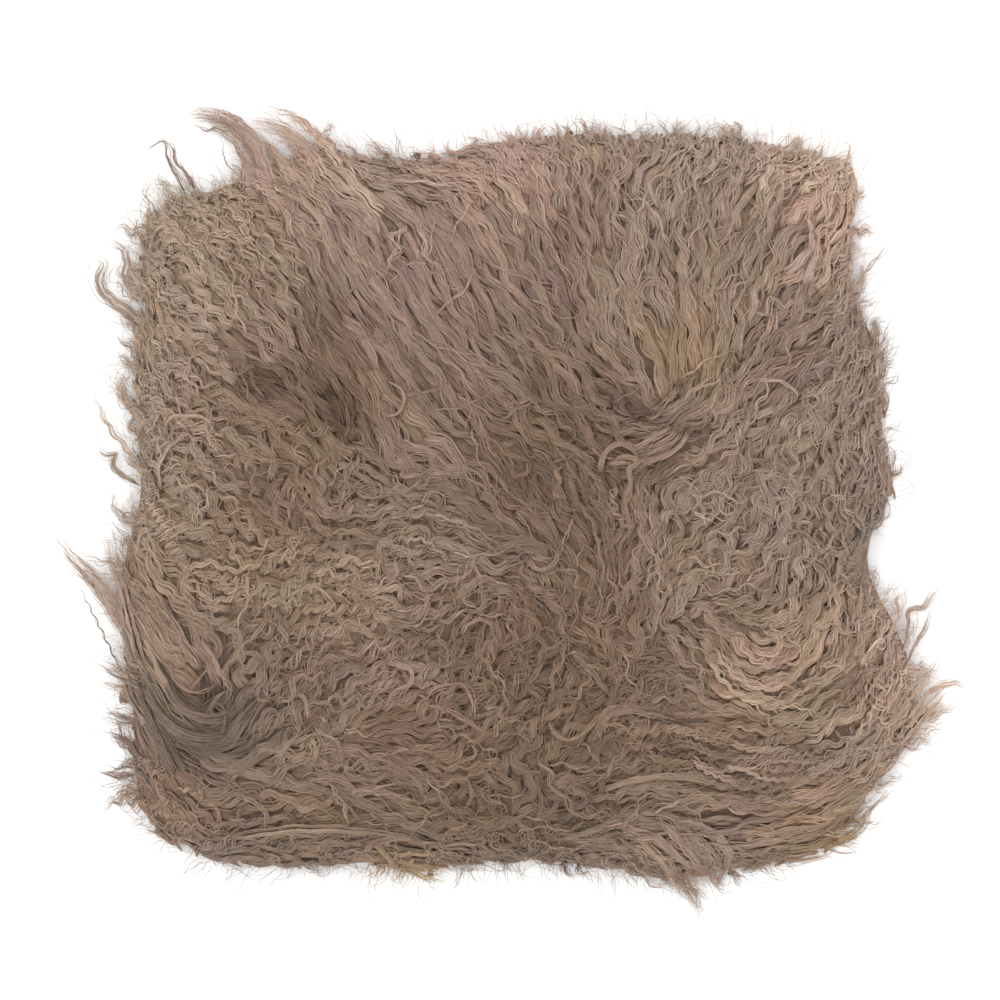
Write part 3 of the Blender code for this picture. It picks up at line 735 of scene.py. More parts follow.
def look_up(grid, x, y):
    """Reads a grid between its points."""
    column = np.clip((x + GRID_REACH) / GRID_PITCH, 0, GRID_COUNT - 1.001)
    row = np.clip((y + GRID_REACH) / GRID_PITCH, 0, GRID_COUNT - 1.001)
    left = column.astype(int)
    low = row.astype(int)
    across = column - left
    up = row - low
    if grid.ndim == 3:
        across = across[..., None]
        up = up[..., None]
    near = grid[low, left] * (1 - across) + grid[low, left + 1] * across
    far = grid[low + 1, left] * (1 - across) + grid[low + 1, left + 1] * across
    return near * (1 - up) + far * up


def grid_points():
    """The x and the y of each point of the grid."""
    line = np.linspace(-GRID_REACH, GRID_REACH, GRID_COUNT)
    return np.meshgrid(line, line)


def read_heights(node):
    """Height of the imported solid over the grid, in millimetres."""
    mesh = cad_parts[node].data
    tree = BVHTree.FromPolygons(
        [vert.co for vert in mesh.vertices], [face.vertices for face in mesh.polygons]
    )
    down = Vector((0.0, 0.0, -1.0))
    heights = np.zeros((GRID_COUNT, GRID_COUNT))
    for row in range(GRID_COUNT):
        y = (row * GRID_PITCH - GRID_REACH) * MM
        for column in range(GRID_COUNT):
            x = (column * GRID_PITCH - GRID_REACH) * MM
            place = tree.ray_cast(Vector((x, y, READ_FROM)), down)[0]
            if place is not None:
                heights[row, column] = place.z / MM
    return heights


def read_outline(heights):
    """How far the wool's edge lies from the middle, for each degree of the compass."""
    reach = np.arange(*EDGE_SEARCH, 1.0)
    radii = []
    for compass in range(360):
        across, up = unit(compass)
        rise = look_up(heights, reach * across, reach * up)
        radii.append(reach[np.nonzero(rise > EDGE_HEIGHT)[0].max()])
    half = EDGE_WINDOW // 2
    wrapped = np.concatenate([radii[-half:], radii, radii[:half]])
    return np.convolve(wrapped, np.ones(EDGE_WINDOW) / EDGE_WINDOW, mode="valid")


def around(values, compass):
    """Reads a list with one value a degree at any compass angle."""
    compass = np.mod(compass, 360.0)
    return np.interp(compass, np.arange(361), np.append(values, values[0]))


def rim_column(name):
    """A column of the rim table, spread over each degree of the compass."""
    rim = columns(RIM_COLUMNS, RIM)
    compass = np.array(rim["compass"] + [360.0])
    values = np.array(rim[name] + rim[name][:1], float)
    return np.interp(np.arange(360), compass, values)


def rim_distance(path):
    """How far points lie inside the outline, towards the middle of the pad."""
    return around(OUTLINE, heading_of(path)) - np.hypot(path[..., 0], path[..., 1])


def spread_combing():
    """Spreads the combing over the grid: as a direction without a sign, and with one."""
    xs, ys = grid_points()
    doubled = np.zeros((GRID_COUNT, GRID_COUNT, 2))
    signed = np.zeros((GRID_COUNT, GRID_COUNT, 2))
    for run in COMBING.values():
        for x, y, heading in run:
            weight = 1.0 / ((xs - x) ** 2 + (ys - y) ** 2 + COMBING_REACH**2) ** 2
            doubled += weight[..., None] * np.array(unit(2.0 * heading))
            signed += weight[..., None] * np.array(unit(heading))
    doubled /= np.linalg.norm(doubled, axis=2, keepdims=True)
    signed /= np.linalg.norm(signed, axis=2, keepdims=True) + 1e-9
    return doubled, signed


def spread_waves():
    """Counts the waves along the combing, so that strands side by side swing together.

    It is the field whose slope comes nearest to one wave for each wave's length.
    """
    rate = SIGNED_GRID / STYLE_GRIDS["wave"][..., None]
    turns = 2 * math.pi * np.fft.fftfreq(GRID_COUNT, GRID_PITCH)
    along_x, along_y = np.meshgrid(turns, turns)
    squared = along_x**2 + along_y**2
    squared[0, 0] = 1.0
    slope_x = np.fft.fft2(rate[..., 0])
    slope_y = np.fft.fft2(rate[..., 1])
    return np.real(np.fft.ifft2(-1j * (along_x * slope_x + along_y * slope_y) / squared))


def spread_styles():
    """Spreads each column of the style table over the grid."""
    xs, ys = grid_points()
    styles = columns(STYLE_COLUMNS, STYLES)
    total = np.zeros((GRID_COUNT, GRID_COUNT))
    names = STYLE_COLUMNS[4:-2]
    spread = {name: np.zeros((GRID_COUNT, GRID_COUNT)) for name in names}
    tint = np.zeros((GRID_COUNT, GRID_COUNT, 3))
    for index in range(len(STYLES)):
        away = (xs - styles["x"][index]) ** 2 + (ys - styles["y"][index]) ** 2
        weight = 1.0 / (STYLE_CORE + away / styles["spread"][index] ** 2) ** 2
        total += weight
        for name in names:
            spread[name] += weight * styles[name][index]
        colour = np.array(TINTS[styles["tint"][index]])
        tint += weight[..., None] * colour * styles["tone"][index]
    for name in names:
        spread[name] /= total
    return spread, tint / total[..., None]


def press_hollows(chance):
    """Lowers the wool along the hollows and darkens it there with painted shade, and makes the rest
    gently uneven.
    """
    xs, ys = grid_points()
    uneven = blur(chance.normal(0.0, 1.0, xs.shape), RELIEF_PASSES)
    inside = np.clip(HEIGHTS / FULL_HEIGHT, 0.0, 1.0)
    heights = HEIGHTS + RELIEF * inside * uneven / uneven.std()
    hues = [blur(chance.normal(0.0, 1.0, xs.shape), HUE_PASSES) for _ in HUES]
    tints = TINT_GRID * (1.0 + sum(
        (hue / hue.std())[..., None] * np.array(colour) for hue, colour in zip(hues, HUES)
    ))
    for place, x, y, to_x, to_y, width, depth in HOLLOWS:
        run = np.array([to_x - x, to_y - y])
        share = np.clip(((xs - x) * run[0] + (ys - y) * run[1]) / (run @ run), 0.0, 1.0)
        away = np.hypot(xs - x - share * run[0], ys - y - share * run[1])
        dip = depth * inside * np.exp(-((away / width) ** 2))
        heights -= dip
        # Painted shade: the deeper the dip, the darker the tint
        tints *= (1.0 - PAINTED_HOLLOW_SHADE * dip)[..., None]
    return heights, tints


def style_at(x, y):
    """The style of the wool at some places."""
    return {name: look_up(grid, x, y) for name, grid in STYLE_GRIDS.items()}


def draws_for(kind, count, chance):
    """Gives the function that draws a trait for all locks of a kind."""
    def draw(trait):
        return chance.uniform(*SPREADS[kind][trait], count)
    return draw


def jittered_roots(pitch, chance):
    """Points of an uneven triangular grid over the pad."""
    row_step = pitch * math.sqrt(3.0) / 2.0
    rows = np.arange(-GRID_REACH, GRID_REACH, row_step)
    places = []
    for index, y in enumerate(rows):
        xs = np.arange(-GRID_REACH, GRID_REACH, pitch) + 0.5 * pitch * (index % 2)
        places.append(np.column_stack([xs, np.full(len(xs), y)]))
    places = np.vstack(places)
    return places + chance.uniform(-LOCK_JITTER, LOCK_JITTER, places.shape) * pitch


def choose_roots(chance):
    """Places inside the outline for the cover's locks, with more of them near the rim."""
    inner = jittered_roots(LOCK_PITCH, chance)
    outer = jittered_roots(LOCK_PITCH, chance)
    outer = outer[rim_distance(outer) < RIM_BAND]
    roots = np.vstack([inner, outer])
    return roots[rim_distance(roots) > RIM_MARGIN]


def covering_locks(chance):
    """Every lock of the cover as a dictionary of columns."""
    roots = choose_roots(chance)
    count = len(roots)
    x, y = roots[:, 0], roots[:, 1]
    style = style_at(x, y)
    draw = draws_for("cover", count, chance)
    shade = chance.normal(1.0, LOCK_SHADE, (count, 1))
    warmth = chance.normal(0.0, LOCK_WARMTH, (count, 1)) * np.array(WARMER)
    rose = chance.normal(0.0, LOCK_ROSE, (count, 1)) * np.array(ROSIER)
    return {
        "x": x,
        "y": y,
        "length": style["length"] * draw("length"),
        "layer": draw("layer"),
        "sink": np.full(count, ROOT_SINK),
        "wander": style["wander"] * draw("wander"),
        "wander_wave": draw("wander_wave"),
        "phase": draw("phase"),
        "curl": style["curl"] * draw("curl") * chance.choice([-1, 1], count),
        "width": style["width"] * draw("width"),
        "thick": draw("thick"),
        "gather": draw("gather"),
        "crimp": style["crimp"] * draw("crimp"),
        "wave": style["wave"],
        "wave_stray": (
            chance.normal(0, WAVE_STRAY, count)
            + (chance.uniform(0, 1, count) < OFFBEAT_SHARE) * OFFBEAT
        ),
        "frizz": style["frizz"] * draw("frizz"),
        "strands": np.full(count, STRANDS_A_LOCK),
        "fineness": np.ones(count),
        "tint": look_up(TINT_GRID, x, y) * shade * (1.0 + (warmth + rose)),
    }


def plain_locks(kind, count, chance, **given):
    """Locks with quiet values in every column, apart from their kind's and those given."""
    draw = draws_for("cover", count, chance)
    locks = {
        **PLAIN_LOCK,
        **KINDS[kind],
        "wander_wave": draw("wander_wave"),
        "phase": draw("phase"),
        **given,
    }
    return {
        name: value if np.ndim(value) else np.full(count, value) for name, value in locks.items()
    }


def rim_places(compass, inset):
    """Places some way inside the outline."""
    radius = around(OUTLINE, compass) - inset
    across, up = unit(compass)
    return radius * across, radius * up


def rim_locks(chance):
    """The locks at the rim: each leaves the wool's shoulder and lies down past its edge."""
    draw = draws_for("rim", RIM_LOCKS, chance)
    compass = (np.arange(RIM_LOCKS) + draw("turn")) * 360.0 / RIM_LOCKS
    inset = draw("inset")
    reach = around(RIM_REACH, compass) * draw("reach")
    lean = around(RIM_LEAN, compass)
    slant = np.maximum(np.cos(np.radians(lean)), LEAST_SLANT)
    x, y = rim_places(compass, inset)
    style = style_at(x, y)
    locks = plain_locks(
        "rim", RIM_LOCKS, chance,
        length=(inset + reach) / slant * RIM_SLACK,
        layer=draw("layer"),
        wander=style["wander"] * draw("wander"),
        curl=style["curl"] * draw("curl"),
        width=draw("width"),
        gather=draw("gather"),
        crimp=style["crimp"] * draw("crimp"),
        wave=style["wave"] * RIM_WAVE,
        frizz=style["frizz"] + RIM_FRIZZ,
        tint=look_up(TINT_GRID, x, y) * chance.normal(1.0, RIM_SHADE, (RIM_LOCKS, 1)),
    )
    heading = compass + lean + chance.normal(0, RIM_STRAY, RIM_LOCKS)
    return along_headings(x, y, heading, locks, around(RIM_BEND, compass)), locks


def halo_hairs(chance):
    """Single fine hairs that curl past the rim."""
    draw = draws_for("halo", HALO_HAIRS, chance)
    compass = draw("compass")
    inset = draw("inset")
    reach = np.minimum(around(RIM_REACH, compass), HALO_REACH) + HALO_PAST
    x, y = rim_places(compass, inset)
    locks = plain_locks(
        "halo", HALO_HAIRS, chance,
        length=(inset + reach * draw("reach")) * HALO_SLACK,
        layer=draw("layer"),
        wander=draw("wander"),
        curl=chance.normal(0.0, HALO_CURL, HALO_HAIRS),
        tint=look_up(TINT_GRID, x, y) * draw("tone")[:, None],
    )
    heading = compass + around(RIM_LEAN, compass) + chance.normal(0, HALO_STRAY, HALO_HAIRS)
    return along_headings(x, y, heading, locks, around(RIM_BEND, compass)), locks


def curly_places(count, inset, bias, stray, chance):
    """Places on top of the wool, most of them where it is curly, and headings near its combing."""
    places = jittered_roots(LOOSE_PITCH, chance)
    places = places[rim_distance(places) > inset]
    curly = look_up(STYLE_GRIDS["curl"], places[:, 0], places[:, 1]) + bias
    curly = np.maximum(curly, 0.0)
    picked = chance.choice(len(places), count, replace=False, p=curly / curly.sum())
    x, y = places[picked, 0], places[picked, 1]
    heading = heading_of(look_up(SIGNED_GRID, x, y)) + chance.normal(0, stray, count)
    return x, y, heading


def loose_wisps(chance):
    """Thin pale wisps that lie over the locks, most of them where the wool is curly."""
    x, y, heading = curly_places(WISPS, WISP_INSET, WISP_BIAS, WISP_STRAY, chance)
    style = style_at(x, y)
    draw = draws_for("wisp", WISPS, chance)
    locks = plain_locks(
        "wisp", WISPS, chance,
        length=style["length"] * draw("length"),
        layer=draw("layer"),
        wander=style["wander"] * draw("wander"),
        curl=style["curl"] * chance.normal(0.0, WISP_CURL, WISPS),
        width=draw("width"),
        gather=draw("gather"),
        crimp=style["crimp"] * draw("crimp"),
        wave=style["wave"],
        wave_stray=chance.normal(0.0, 1.0, WISPS),
        frizz=style["frizz"] * WISP_FRIZZ,
        strands=chance.integers(*WISP_STRANDS, WISPS),
        tint=look_up(TINT_GRID, x, y) * draw("tone")[:, None],
    )
    return stop_past_rim(along_headings(x, y, heading, locks, 0.0), chance), locks


def ringlets(chance):
    """Tight bundles that swing widely or roll up at the tip, on top of the curly parts."""
    x, y, heading = curly_places(RINGLETS, RINGLET_INSET, RINGLET_BIAS, RINGLET_STRAY, chance)
    draw = draws_for("ringlet", RINGLETS, chance)
    rolled = chance.uniform(0, 1, RINGLETS) < ROLLED_SHARE
    turn = draw("turn") * chance.choice([-1, 1], RINGLETS)
    locks = plain_locks(
        "ringlet", RINGLETS, chance,
        length=draw("length"),
        layer=draw("layer"),
        wander=draw("wander"),
        curl=np.where(rolled, turn, chance.normal(0.0, RINGLET_CURL, RINGLETS)),
        width=draw("width"),
        gather=draw("gather"),
        crimp=np.where(rolled, ROLLED_CRIMP, draw("crimp")),
        wave=draw("wave"),
        wave_stray=draw("wave_stray"),
        tint=look_up(TINT_GRID, x, y) * chance.normal(*RINGLET_TONE, (RINGLETS, 1)),
    )
    return stop_past_rim(along_headings(x, y, heading, locks, 0.0), chance), locks


def landmark_locks(chance):
    """The locks of the landmark table, each on its own way."""
    marks = columns(LANDMARK_COLUMNS, LANDMARKS)
    routes = [even_route(route) for route in marks["route"]]
    guides = np.stack([route for route, length in routes])
    middle = guides[:, GUIDE_STEPS // 2]
    given = {name: np.array(marks[name], float) for name in ("layer", "width", "crimp", "wave")}
    locks = plain_locks(
        "landmark", len(LANDMARKS), chance,
        length=np.array([length for route, length in routes]),
        thick=np.minimum(LANDMARK_THICKNESS * given["width"], THICKEST),
        strands=np.array(marks["strands"]),
        tint=look_up(TINT_GRID, middle[:, 0], middle[:, 1]) * np.array(marks["tone"])[:, None],
        **given,
    )
    return guides, locks


def wander_swing(locks, share):
    """Where a lock is in its slow swing from side to side, from -1 to 1."""
    return np.sin(2 * math.pi * share * locks["length"] / locks["wander_wave"] + locks["phase"])


def step_on(x, y, across, up, step, steepest):
    """Makes a step over the wool, which gets shorter in plan where it climbs."""
    slope = look_up(SLOPE_X, x, y) * across + look_up(SLOPE_Y, x, y) * up
    stride = step / np.sqrt(1.0 + np.minimum(slope**2, steepest))
    return x + stride * across, y + stride * up


def walk(locks, forward, steps):
    """Follows the combing from each lock's middle, to its tip or back to its root."""
    x = locks["x"]
    y = locks["y"]
    step = locks["length"] / GUIDE_STEPS
    sense = 1.0 if forward else -1.0
    last = look_up(SIGNED_GRID, x, y) * sense
    places = [np.column_stack([x, y])]
    for index in range(steps):
        share = sense * index / GUIDE_STEPS
        doubled = look_up(DOUBLED_GRID, x, y)
        angle = 0.5 * np.arctan2(doubled[:, 1], doubled[:, 0])
        along = np.column_stack([np.cos(angle), np.sin(angle)])
        along *= np.where((along * last).sum(1) < 0, -1.0, 1.0)[:, None]
        last = along
        curl = locks["curl"] * max(0.0, share) ** 2 * TIP_CURL
        turned = np.radians(locks["wander"] * wander_swing(locks, share) + curl)
        heading = np.arctan2(along[:, 1], along[:, 0]) + turned
        x, y = step_on(x, y, np.cos(heading), np.sin(heading), step, np.inf)
        places.append(np.column_stack([x, y]))
    return np.stack(places, axis=1)


def along_headings(x, y, heading, locks, bend):
    """Grows guides from given headings, which bend and swing on the way to the tip."""
    step = locks["length"] / GUIDE_STEPS
    places = [np.column_stack([x, y])]
    for index in range(GUIDE_STEPS):
        share = index / GUIDE_STEPS
        wander = locks["wander"] * wander_swing(locks, share) * share
        across, up = unit(heading + bend * share + wander + locks["curl"] * share**2)
        x, y = step_on(x, y, across, up, step, STEEPEST)
        places.append(np.column_stack([x, y]))
    return np.stack(places, axis=1)


def even_route(route):
    """A smooth way through given points, with evenly spaced steps."""
    points = np.array(route, float)
    for _ in range(CORNER_CUTS):
        near = 0.75 * points[:-1] + 0.25 * points[1:]
        far = 0.25 * points[:-1] + 0.75 * points[1:]
        inner = np.stack([near, far], axis=1).reshape(-1, 2)
        points = np.vstack([points[:1], inner, points[-1:]])
    run = np.concatenate([[0.0], np.cumsum(np.linalg.norm(np.diff(points, axis=0), axis=1))])
    even = np.linspace(0.0, run[-1], GUIDE_STEPS + 1)
    return np.column_stack([np.interp(even, run, points[:, axis]) for axis in range(2)]), run[-1]


def follow_combing(locks, chance):
    """Grows each lock's guide along the combing, both ways from its middle."""
    back = walk(locks, False, BACK_STEPS)
    front = walk(locks, True, GUIDE_STEPS - BACK_STEPS)
    path = np.concatenate([back[:, :0:-1], front], axis=1)
    return stop_past_rim(start_inside_rim(path), chance)


def start_inside_rim(path):
    """Takes off the start of each guide that would have its root past the outline."""
    steps = path.shape[1]
    outside = rim_distance(path[:, :BACK_STEPS]) < ROOT_MARGIN
    last = np.where(outside.any(1), BACK_STEPS - outside[:, ::-1].argmax(1), 0)
    place = last[:, None] + np.linspace(0.0, 1.0, steps)[None, :] * (steps - 1 - last)[:, None]
    return read_along(path, place)


def stop_past_rim(path, chance):
    """Shortens each guide that runs further past the outline than the rim table allows."""
    count, steps = path.shape[:2]
    allowed = around(RIM_REACH, heading_of(path)) * chance.uniform(*REACH_SHARES, (count, 1))
    outside = rim_distance(path) < -allowed
    stop = np.maximum(outside.argmax(1), FEWEST_STEPS)
    first = np.where(outside.any(1), stop, steps - 1)
    place = np.linspace(0.0, 1.0, steps)[None, :] * first[:, None]
    return read_along(path, place)


def read_along(path, place):
    """Reads guides at fractional places along them."""
    low = np.minimum(place.astype(int), path.shape[1] - 2)
    share = (place - low)[..., None]
    index = np.arange(len(path))[:, None]
    return path[index, low] * (1 - share) + path[index, low + 1] * share


def raise_guides(path, locks):
    """Gives flat guides their height: sunk at the root, over the wool and down at the tip."""
    share = np.linspace(0.0, 1.0, path.shape[1])[None, :]
    surface = look_up(HEIGHTS, path[..., 0], path[..., 1])
    emerge = np.clip(share / EMERGENCE, 0.0, 1.0)
    emerge = emerge * emerge * (3 - 2 * emerge)
    arch = 4.0 * share * (1.0 - share)
    over = -locks["sink"][:, None] * (1 - emerge) + locks["layer"][:, None] * emerge
    height = surface + over + ARCH * arch
    floor = FLOOR_GAP + np.clip(locks["layer"][:, None], 0.0, FLOOR_LAYERS) * FLOOR_LIFT
    height = np.maximum(height, floor)
    return np.concatenate([path, height[..., None]], axis=2)


def surface_normals(x, y):
    """Which way the wool's surface faces."""
    slopes = [-look_up(SLOPE_X, x, y), -look_up(SLOPE_Y, x, y), np.ones_like(x)]
    return normalized(np.stack(slopes, -1))


def clear_of_rim(guides):
    """How far along each guide comes to lie near the outline, where its body ends."""
    near = rim_distance(guides) < BODY_MARGIN
    near[:, :FEWEST_BODY_STEPS] = False
    return np.where(near.any(1), near.argmax(1) / GUIDE_STEPS, 1.0)


def shared_traits(owner, guides, locks, chance):
    """What the ribbons and the strands of a lock have in common."""
    count = len(owner)
    root = guides[:, 0, :2]
    swing = 2 * math.pi * look_up(WAVE_GRID, root[:, 0], root[:, 1]) + locks["wave_stray"]
    return {
        "owner": owner,
        "start": chance.uniform(*START, count),
        "end": chance.uniform(*END, count),
        "phase": swing[owner] + chance.normal(0, PHASE_STRAY, count),
        "crimp": locks["crimp"][owner],
        "rate": 2 * math.pi / locks["wave"][owner],
        "frizz_rate": 2 * math.pi / chance.uniform(*FRIZZ_WAVE, (count, 2)),
        "frizz_phase": chance.uniform(0, 2 * math.pi, (count, 4)),
        "gather": locks["gather"][owner] * chance.uniform(*GATHER_STRAY, count),
    }


def under_traits(guides, locks, chance):
    """One broad ribbon below each lock, so that the gaps between locks show wool too."""
    count = len(guides)
    make = RIBBONS["under"]
    traits = shared_traits(np.arange(count), guides, locks, chance)
    traits.update({
        "side": np.zeros(count),
        "rise": chance.normal(0, make["rise"], count),
        "end": clear_of_rim(guides),
        "crimp": traits["crimp"] * make["crimp"],
        "rate": np.full(count, 2 * math.pi / make["wave"]),
        "frizz": locks["frizz"] * make["frizz"],
        "gather": np.zeros(count),
        "fling": np.zeros(count),
        "width": chance.uniform(*make["width"], count),
        "roll": np.radians(chance.normal(0, make["roll"], count)),
        "tint": locks["tint"] * chance.normal(1.0, make["shade"], (count, 1)),
    })
    return traits


def body_traits(guides, locks, chance):
    """The ribbons of each lock's body: side by side, domed, and swinging as one."""
    owner = np.repeat(np.arange(len(guides)), BODY_RIBBONS)
    count = len(owner)
    make = RIBBONS["body"]
    place = np.tile(np.linspace(-1.0, 1.0, BODY_RIBBONS), len(guides))
    shade = chance.normal(1.0, make["shade"], (count, 1))
    traits = shared_traits(owner, guides, locks, chance)
    dome = -make["dome"] * locks["thick"][owner] * place**2
    traits.update({
        "side": (place * make["side"] + chance.normal(0, BODY_STRAY, count)) * locks["width"][owner],
        "rise": dome + chance.normal(0, make["rise"], count),
        "end": np.minimum(chance.uniform(*BODY_END, count), clear_of_rim(guides)[owner]),
        "frizz": locks["frizz"][owner] * make["frizz"],
        "fling": chance.normal(0, make["fling"], count),
        "width": chance.uniform(*make["width"], count),
        "roll": np.radians(place * make["turn"] + chance.normal(0, make["roll"], count)),
        "tint": locks["tint"][owner] * shade * make["tone"],
    })
    return traits


def strand_traits(guides, locks, chance):
    """The fine strands of each lock: each belongs to a tuft, and some of them stray."""
    owner = np.repeat(np.arange(len(guides)), locks["strands"].astype(int))
    count = len(owner)
    make = RIBBONS["strand"]
    tuft = chance.integers(0, TUFTS_A_LOCK, count)
    tuft_side = chance.uniform(-TUFT_SIDE, TUFT_SIDE, (len(guides), TUFTS_A_LOCK))[owner, tuft]
    tuft_phase = chance.normal(0, TUFT_PHASE, (len(guides), TUFTS_A_LOCK))[owner, tuft]
    side = 0.5 * (tuft_side + chance.normal(0, TUFT_SPREAD, count))
    stray = chance.uniform(0, 1, count) < STRAY_SHARE
    shade = chance.normal(1.0, make["shade"], (count, 1))
    traits = shared_traits(owner, guides, locks, chance)
    traits.update({
        "side": side * locks["width"][owner],
        "rise": chance.uniform(*make["rise"], count) - locks["thick"][owner] * side**2,
        "phase": traits["phase"] + tuft_phase + stray * chance.uniform(0, STRAY["phase"], count),
        "crimp": (
            traits["crimp"] * chance.uniform(*CRIMP_STRAY, count)
            * np.where(stray, STRAY["crimp"], 1.0)
        ),
        "rate": traits["rate"] * chance.normal(1.0, RATE_STRAY, count),
        "frizz": locks["frizz"][owner] * np.where(stray, STRAY["frizz"], 1.0),
        "fling": chance.normal(0, 1.0, count) * np.where(stray, STRAY["fling"], STEADY_FLING),
        "width": chance.uniform(*make["width"], count) * locks["fineness"][owner],
        "roll": np.radians(chance.normal(0, make["roll"], count)),
        "tint": locks["tint"][owner] * shade * make["tone"],
    })
    return traits


def grow_strands(guides, locks, chance, draw_traits):
    """Makes each lock's strands: bundles of like waves that close in towards the tip."""
    traits = draw_traits(guides, locks, chance)
    lengths = np.linalg.norm(np.diff(guides, axis=1), axis=2).sum(1)[traits["owner"]]
    turning = np.abs(locks["curl"])[traits["owner"]] / 360.0
    wanted = (lengths * traits["rate"] / (2 * math.pi) + 2.0 * turning) * SAMPLES_A_WAVE
    classes = np.array(SAMPLE_CLASSES)
    size = classes[np.clip(np.searchsorted(classes, wanted), 0, len(classes) - 1)]
    return [
        bend_strands(guides, those(traits, size == samples), lengths[size == samples, None], samples)
        for samples in SAMPLE_CLASSES
        if (size == samples).any()
    ]


def bend_strands(guides, traits, lengths, samples):
    """Works out the points of strands that have the same number of samples."""
    trait = {key: value[:, None] for key, value in traits.items() if value.ndim == 1}
    share = np.linspace(0.0, 1.0, samples)[None, :]
    place = trait["start"] + (trait["end"] - trait["start"]) * share
    middle = read_along(guides[traits["owner"]], place * GUIDE_STEPS)
    along = normalized(np.gradient(middle, axis=1))
    up = surface_normals(middle[..., 0], middle[..., 1])
    across = normalized(cross(up, along))
    up = cross(along, across)
    run = place * lengths
    wave = run * trait["rate"] + trait["phase"]
    grip = np.clip(place / SWING_FULL, LEAST_SWING, 1.0)
    closing = 1.0 - trait["gather"] * place**0.8
    sideways = trait["side"] * closing + trait["fling"] * place**2
    sideways += trait["crimp"] * grip * np.sin(wave) + frizz(traits, trait, run, 0)
    upwards = trait["rise"] * closing
    upwards += CRIMP_RISE * trait["crimp"] * grip * np.cos(wave)
    upwards += FRIZZ_RISE * frizz(traits, trait, run, 1)
    path = middle + across * sideways[..., None] + up * upwards[..., None]
    path[..., 2] = np.maximum(path[..., 2], FLOOR_GAP)
    taper = np.minimum(0.5 + 3.0 * share, 1.0) * (1.0 - 0.8 * share**3)
    return {
        "path": path,
        "width": trait["width"] * taper,
        "roll": traits["roll"],
        "up": up,
        "tint": traits["tint"],
        "share": place,
    }


def frizz(traits, trait, run, axis):
    """Small uneven swings that no neighbour shares."""
    fast = run * traits["frizz_rate"][:, axis, None]
    quick = 0.4 * np.sin(fast + traits["frizz_phase"][:, axis, None])
    slow = np.sin(0.37 * fast + traits["frizz_phase"][:, axis + 2, None])
    return 0.5 * trait["frizz"] * (quick + slow)


def share_seen(sets):
    """What share of each strand's points is among the topmost of its cell of the pad."""
    cells = []
    heights = []
    strand = []
    first = 0
    for strands in sets:
        count, samples = strands["path"].shape[:2]
        path = strands["path"].reshape(-1, 3)
        column = ((path[:, 0] + GRID_REACH) / COVER_CELL).astype(int)
        row = ((path[:, 1] + GRID_REACH) / COVER_CELL).astype(int)
        cells.append(row * int(2 * GRID_REACH / COVER_CELL + 2) + column)
        heights.append(path[:, 2])
        strand.append(np.repeat(first + np.arange(count), samples))
        first += count
    cells = np.concatenate(cells)
    strand = np.concatenate(strand)
    order = np.lexsort((-np.concatenate(heights), cells))
    ordered = cells[order]
    begins = np.concatenate([[True], ordered[1:] != ordered[:-1]])
    places = np.arange(len(ordered))
    rank = places - np.maximum.accumulate(np.where(begins, places, 0))
    seen = np.bincount(strand[order], weights=rank < COVER_DEPTH, minlength=first)
    size = np.bincount(strand, minlength=first)
    return seen / size, size


def keep_topmost(sets, budget):
    """Leaves out strands that lie under others all the way, down to the triangle budget."""
    share, size = share_seen(sets)
    best = np.argsort(-share, kind="stable")
    total = np.cumsum(2 * (size[best] - 1))
    keep = np.zeros(len(size), bool)
    keep[best[total <= budget]] = True
    ends = np.cumsum([len(strands["path"]) for strands in sets])
    return [those(strands, keep[end - len(strands["path"]):end]) for strands, end in zip(sets, ends)]


def by_sector(sets):
    """Shares the strands out over sectors of the pad with like numbers of triangles."""
    middles = [strands["path"][:, strands["path"].shape[1] // 2] for strands in sets]
    compass = [heading_of(middle) % 360.0 for middle in middles]
    every = np.concatenate(compass)
    rows = np.concatenate([np.full(*strands["path"].shape[:2]) for strands in sets])
    order = np.argsort(every, kind="stable")
    total = np.cumsum(rows[order])
    cuts = np.searchsorted(total, total[-1] * np.arange(1, SECTORS) / SECTORS)
    borders = every[order][cuts]
    shared = [[] for _ in range(SECTORS)]
    for strands, angle in zip(sets, compass):
        sector = np.searchsorted(borders, angle)
        for index in range(SECTORS):
            chosen = sector == index
            if chosen.any():
                shared[index].append(those(strands, chosen))
    return shared


def strand_colours(strands):
    """Colour of each point: the strand's own tint, with painted shade deep between the locks and towards
    the root, and a painted highlight on top.
    """
    path = strands["path"]
    # Painted light: darker where a point lies deep between the locks, paler where it lies high on top
    lowest, highest = PAINTED_LIGHT_DEPTHS
    depth = path[..., 2] - look_up(HEIGHTS, path[..., 0], path[..., 1])
    high = np.clip((depth - lowest) / (highest - lowest), 0.0, 1.0)[..., None]
    tone = np.array(DEEP_PAINTED_SHADE) * (1.0 - high) + np.array(HIGH_PAINTED_LIGHT) * high
    # Painted shade towards the root
    along = ROOT_PAINTED_SHADE + (1.0 - ROOT_PAINTED_SHADE) * np.clip(strands["share"] / ROOT_SHADE_SHARE, 0.0, 1.0)
    colour = np.array(WOOL_COLOUR) * strands["tint"][:, None, :] * along[..., None] * tone
    return np.clip(colour, DARKEST, PALEST)


def ribbon_points(strands):
    """The two edges of each ribbon, turned by its roll about its own path."""
    path = strands["path"]
    along = normalized(np.gradient(path, axis=1))
    across = normalized(cross(strands["up"], along))
    out = cross(along, across)
    roll = strands["roll"][:, None, None]
    across = across * np.cos(roll) + out * np.sin(roll)
    half = 0.5 * strands["width"][..., None] * across
    edges = np.stack([path - half, path + half], axis=2)
    edges[..., 2] = np.maximum(edges[..., 2], RIBBON_GAP)
    return edges


def ribbon_faces(first, count, samples):
    """The corners of each face of some ribbons, whose points start at a given number."""
    base = first + np.arange(count)[:, None] * samples * 2 + np.arange(samples - 1)[None, :] * 2
    return np.stack([base, base + 1, base + 3, base + 2], axis=2).reshape(-1, 4)


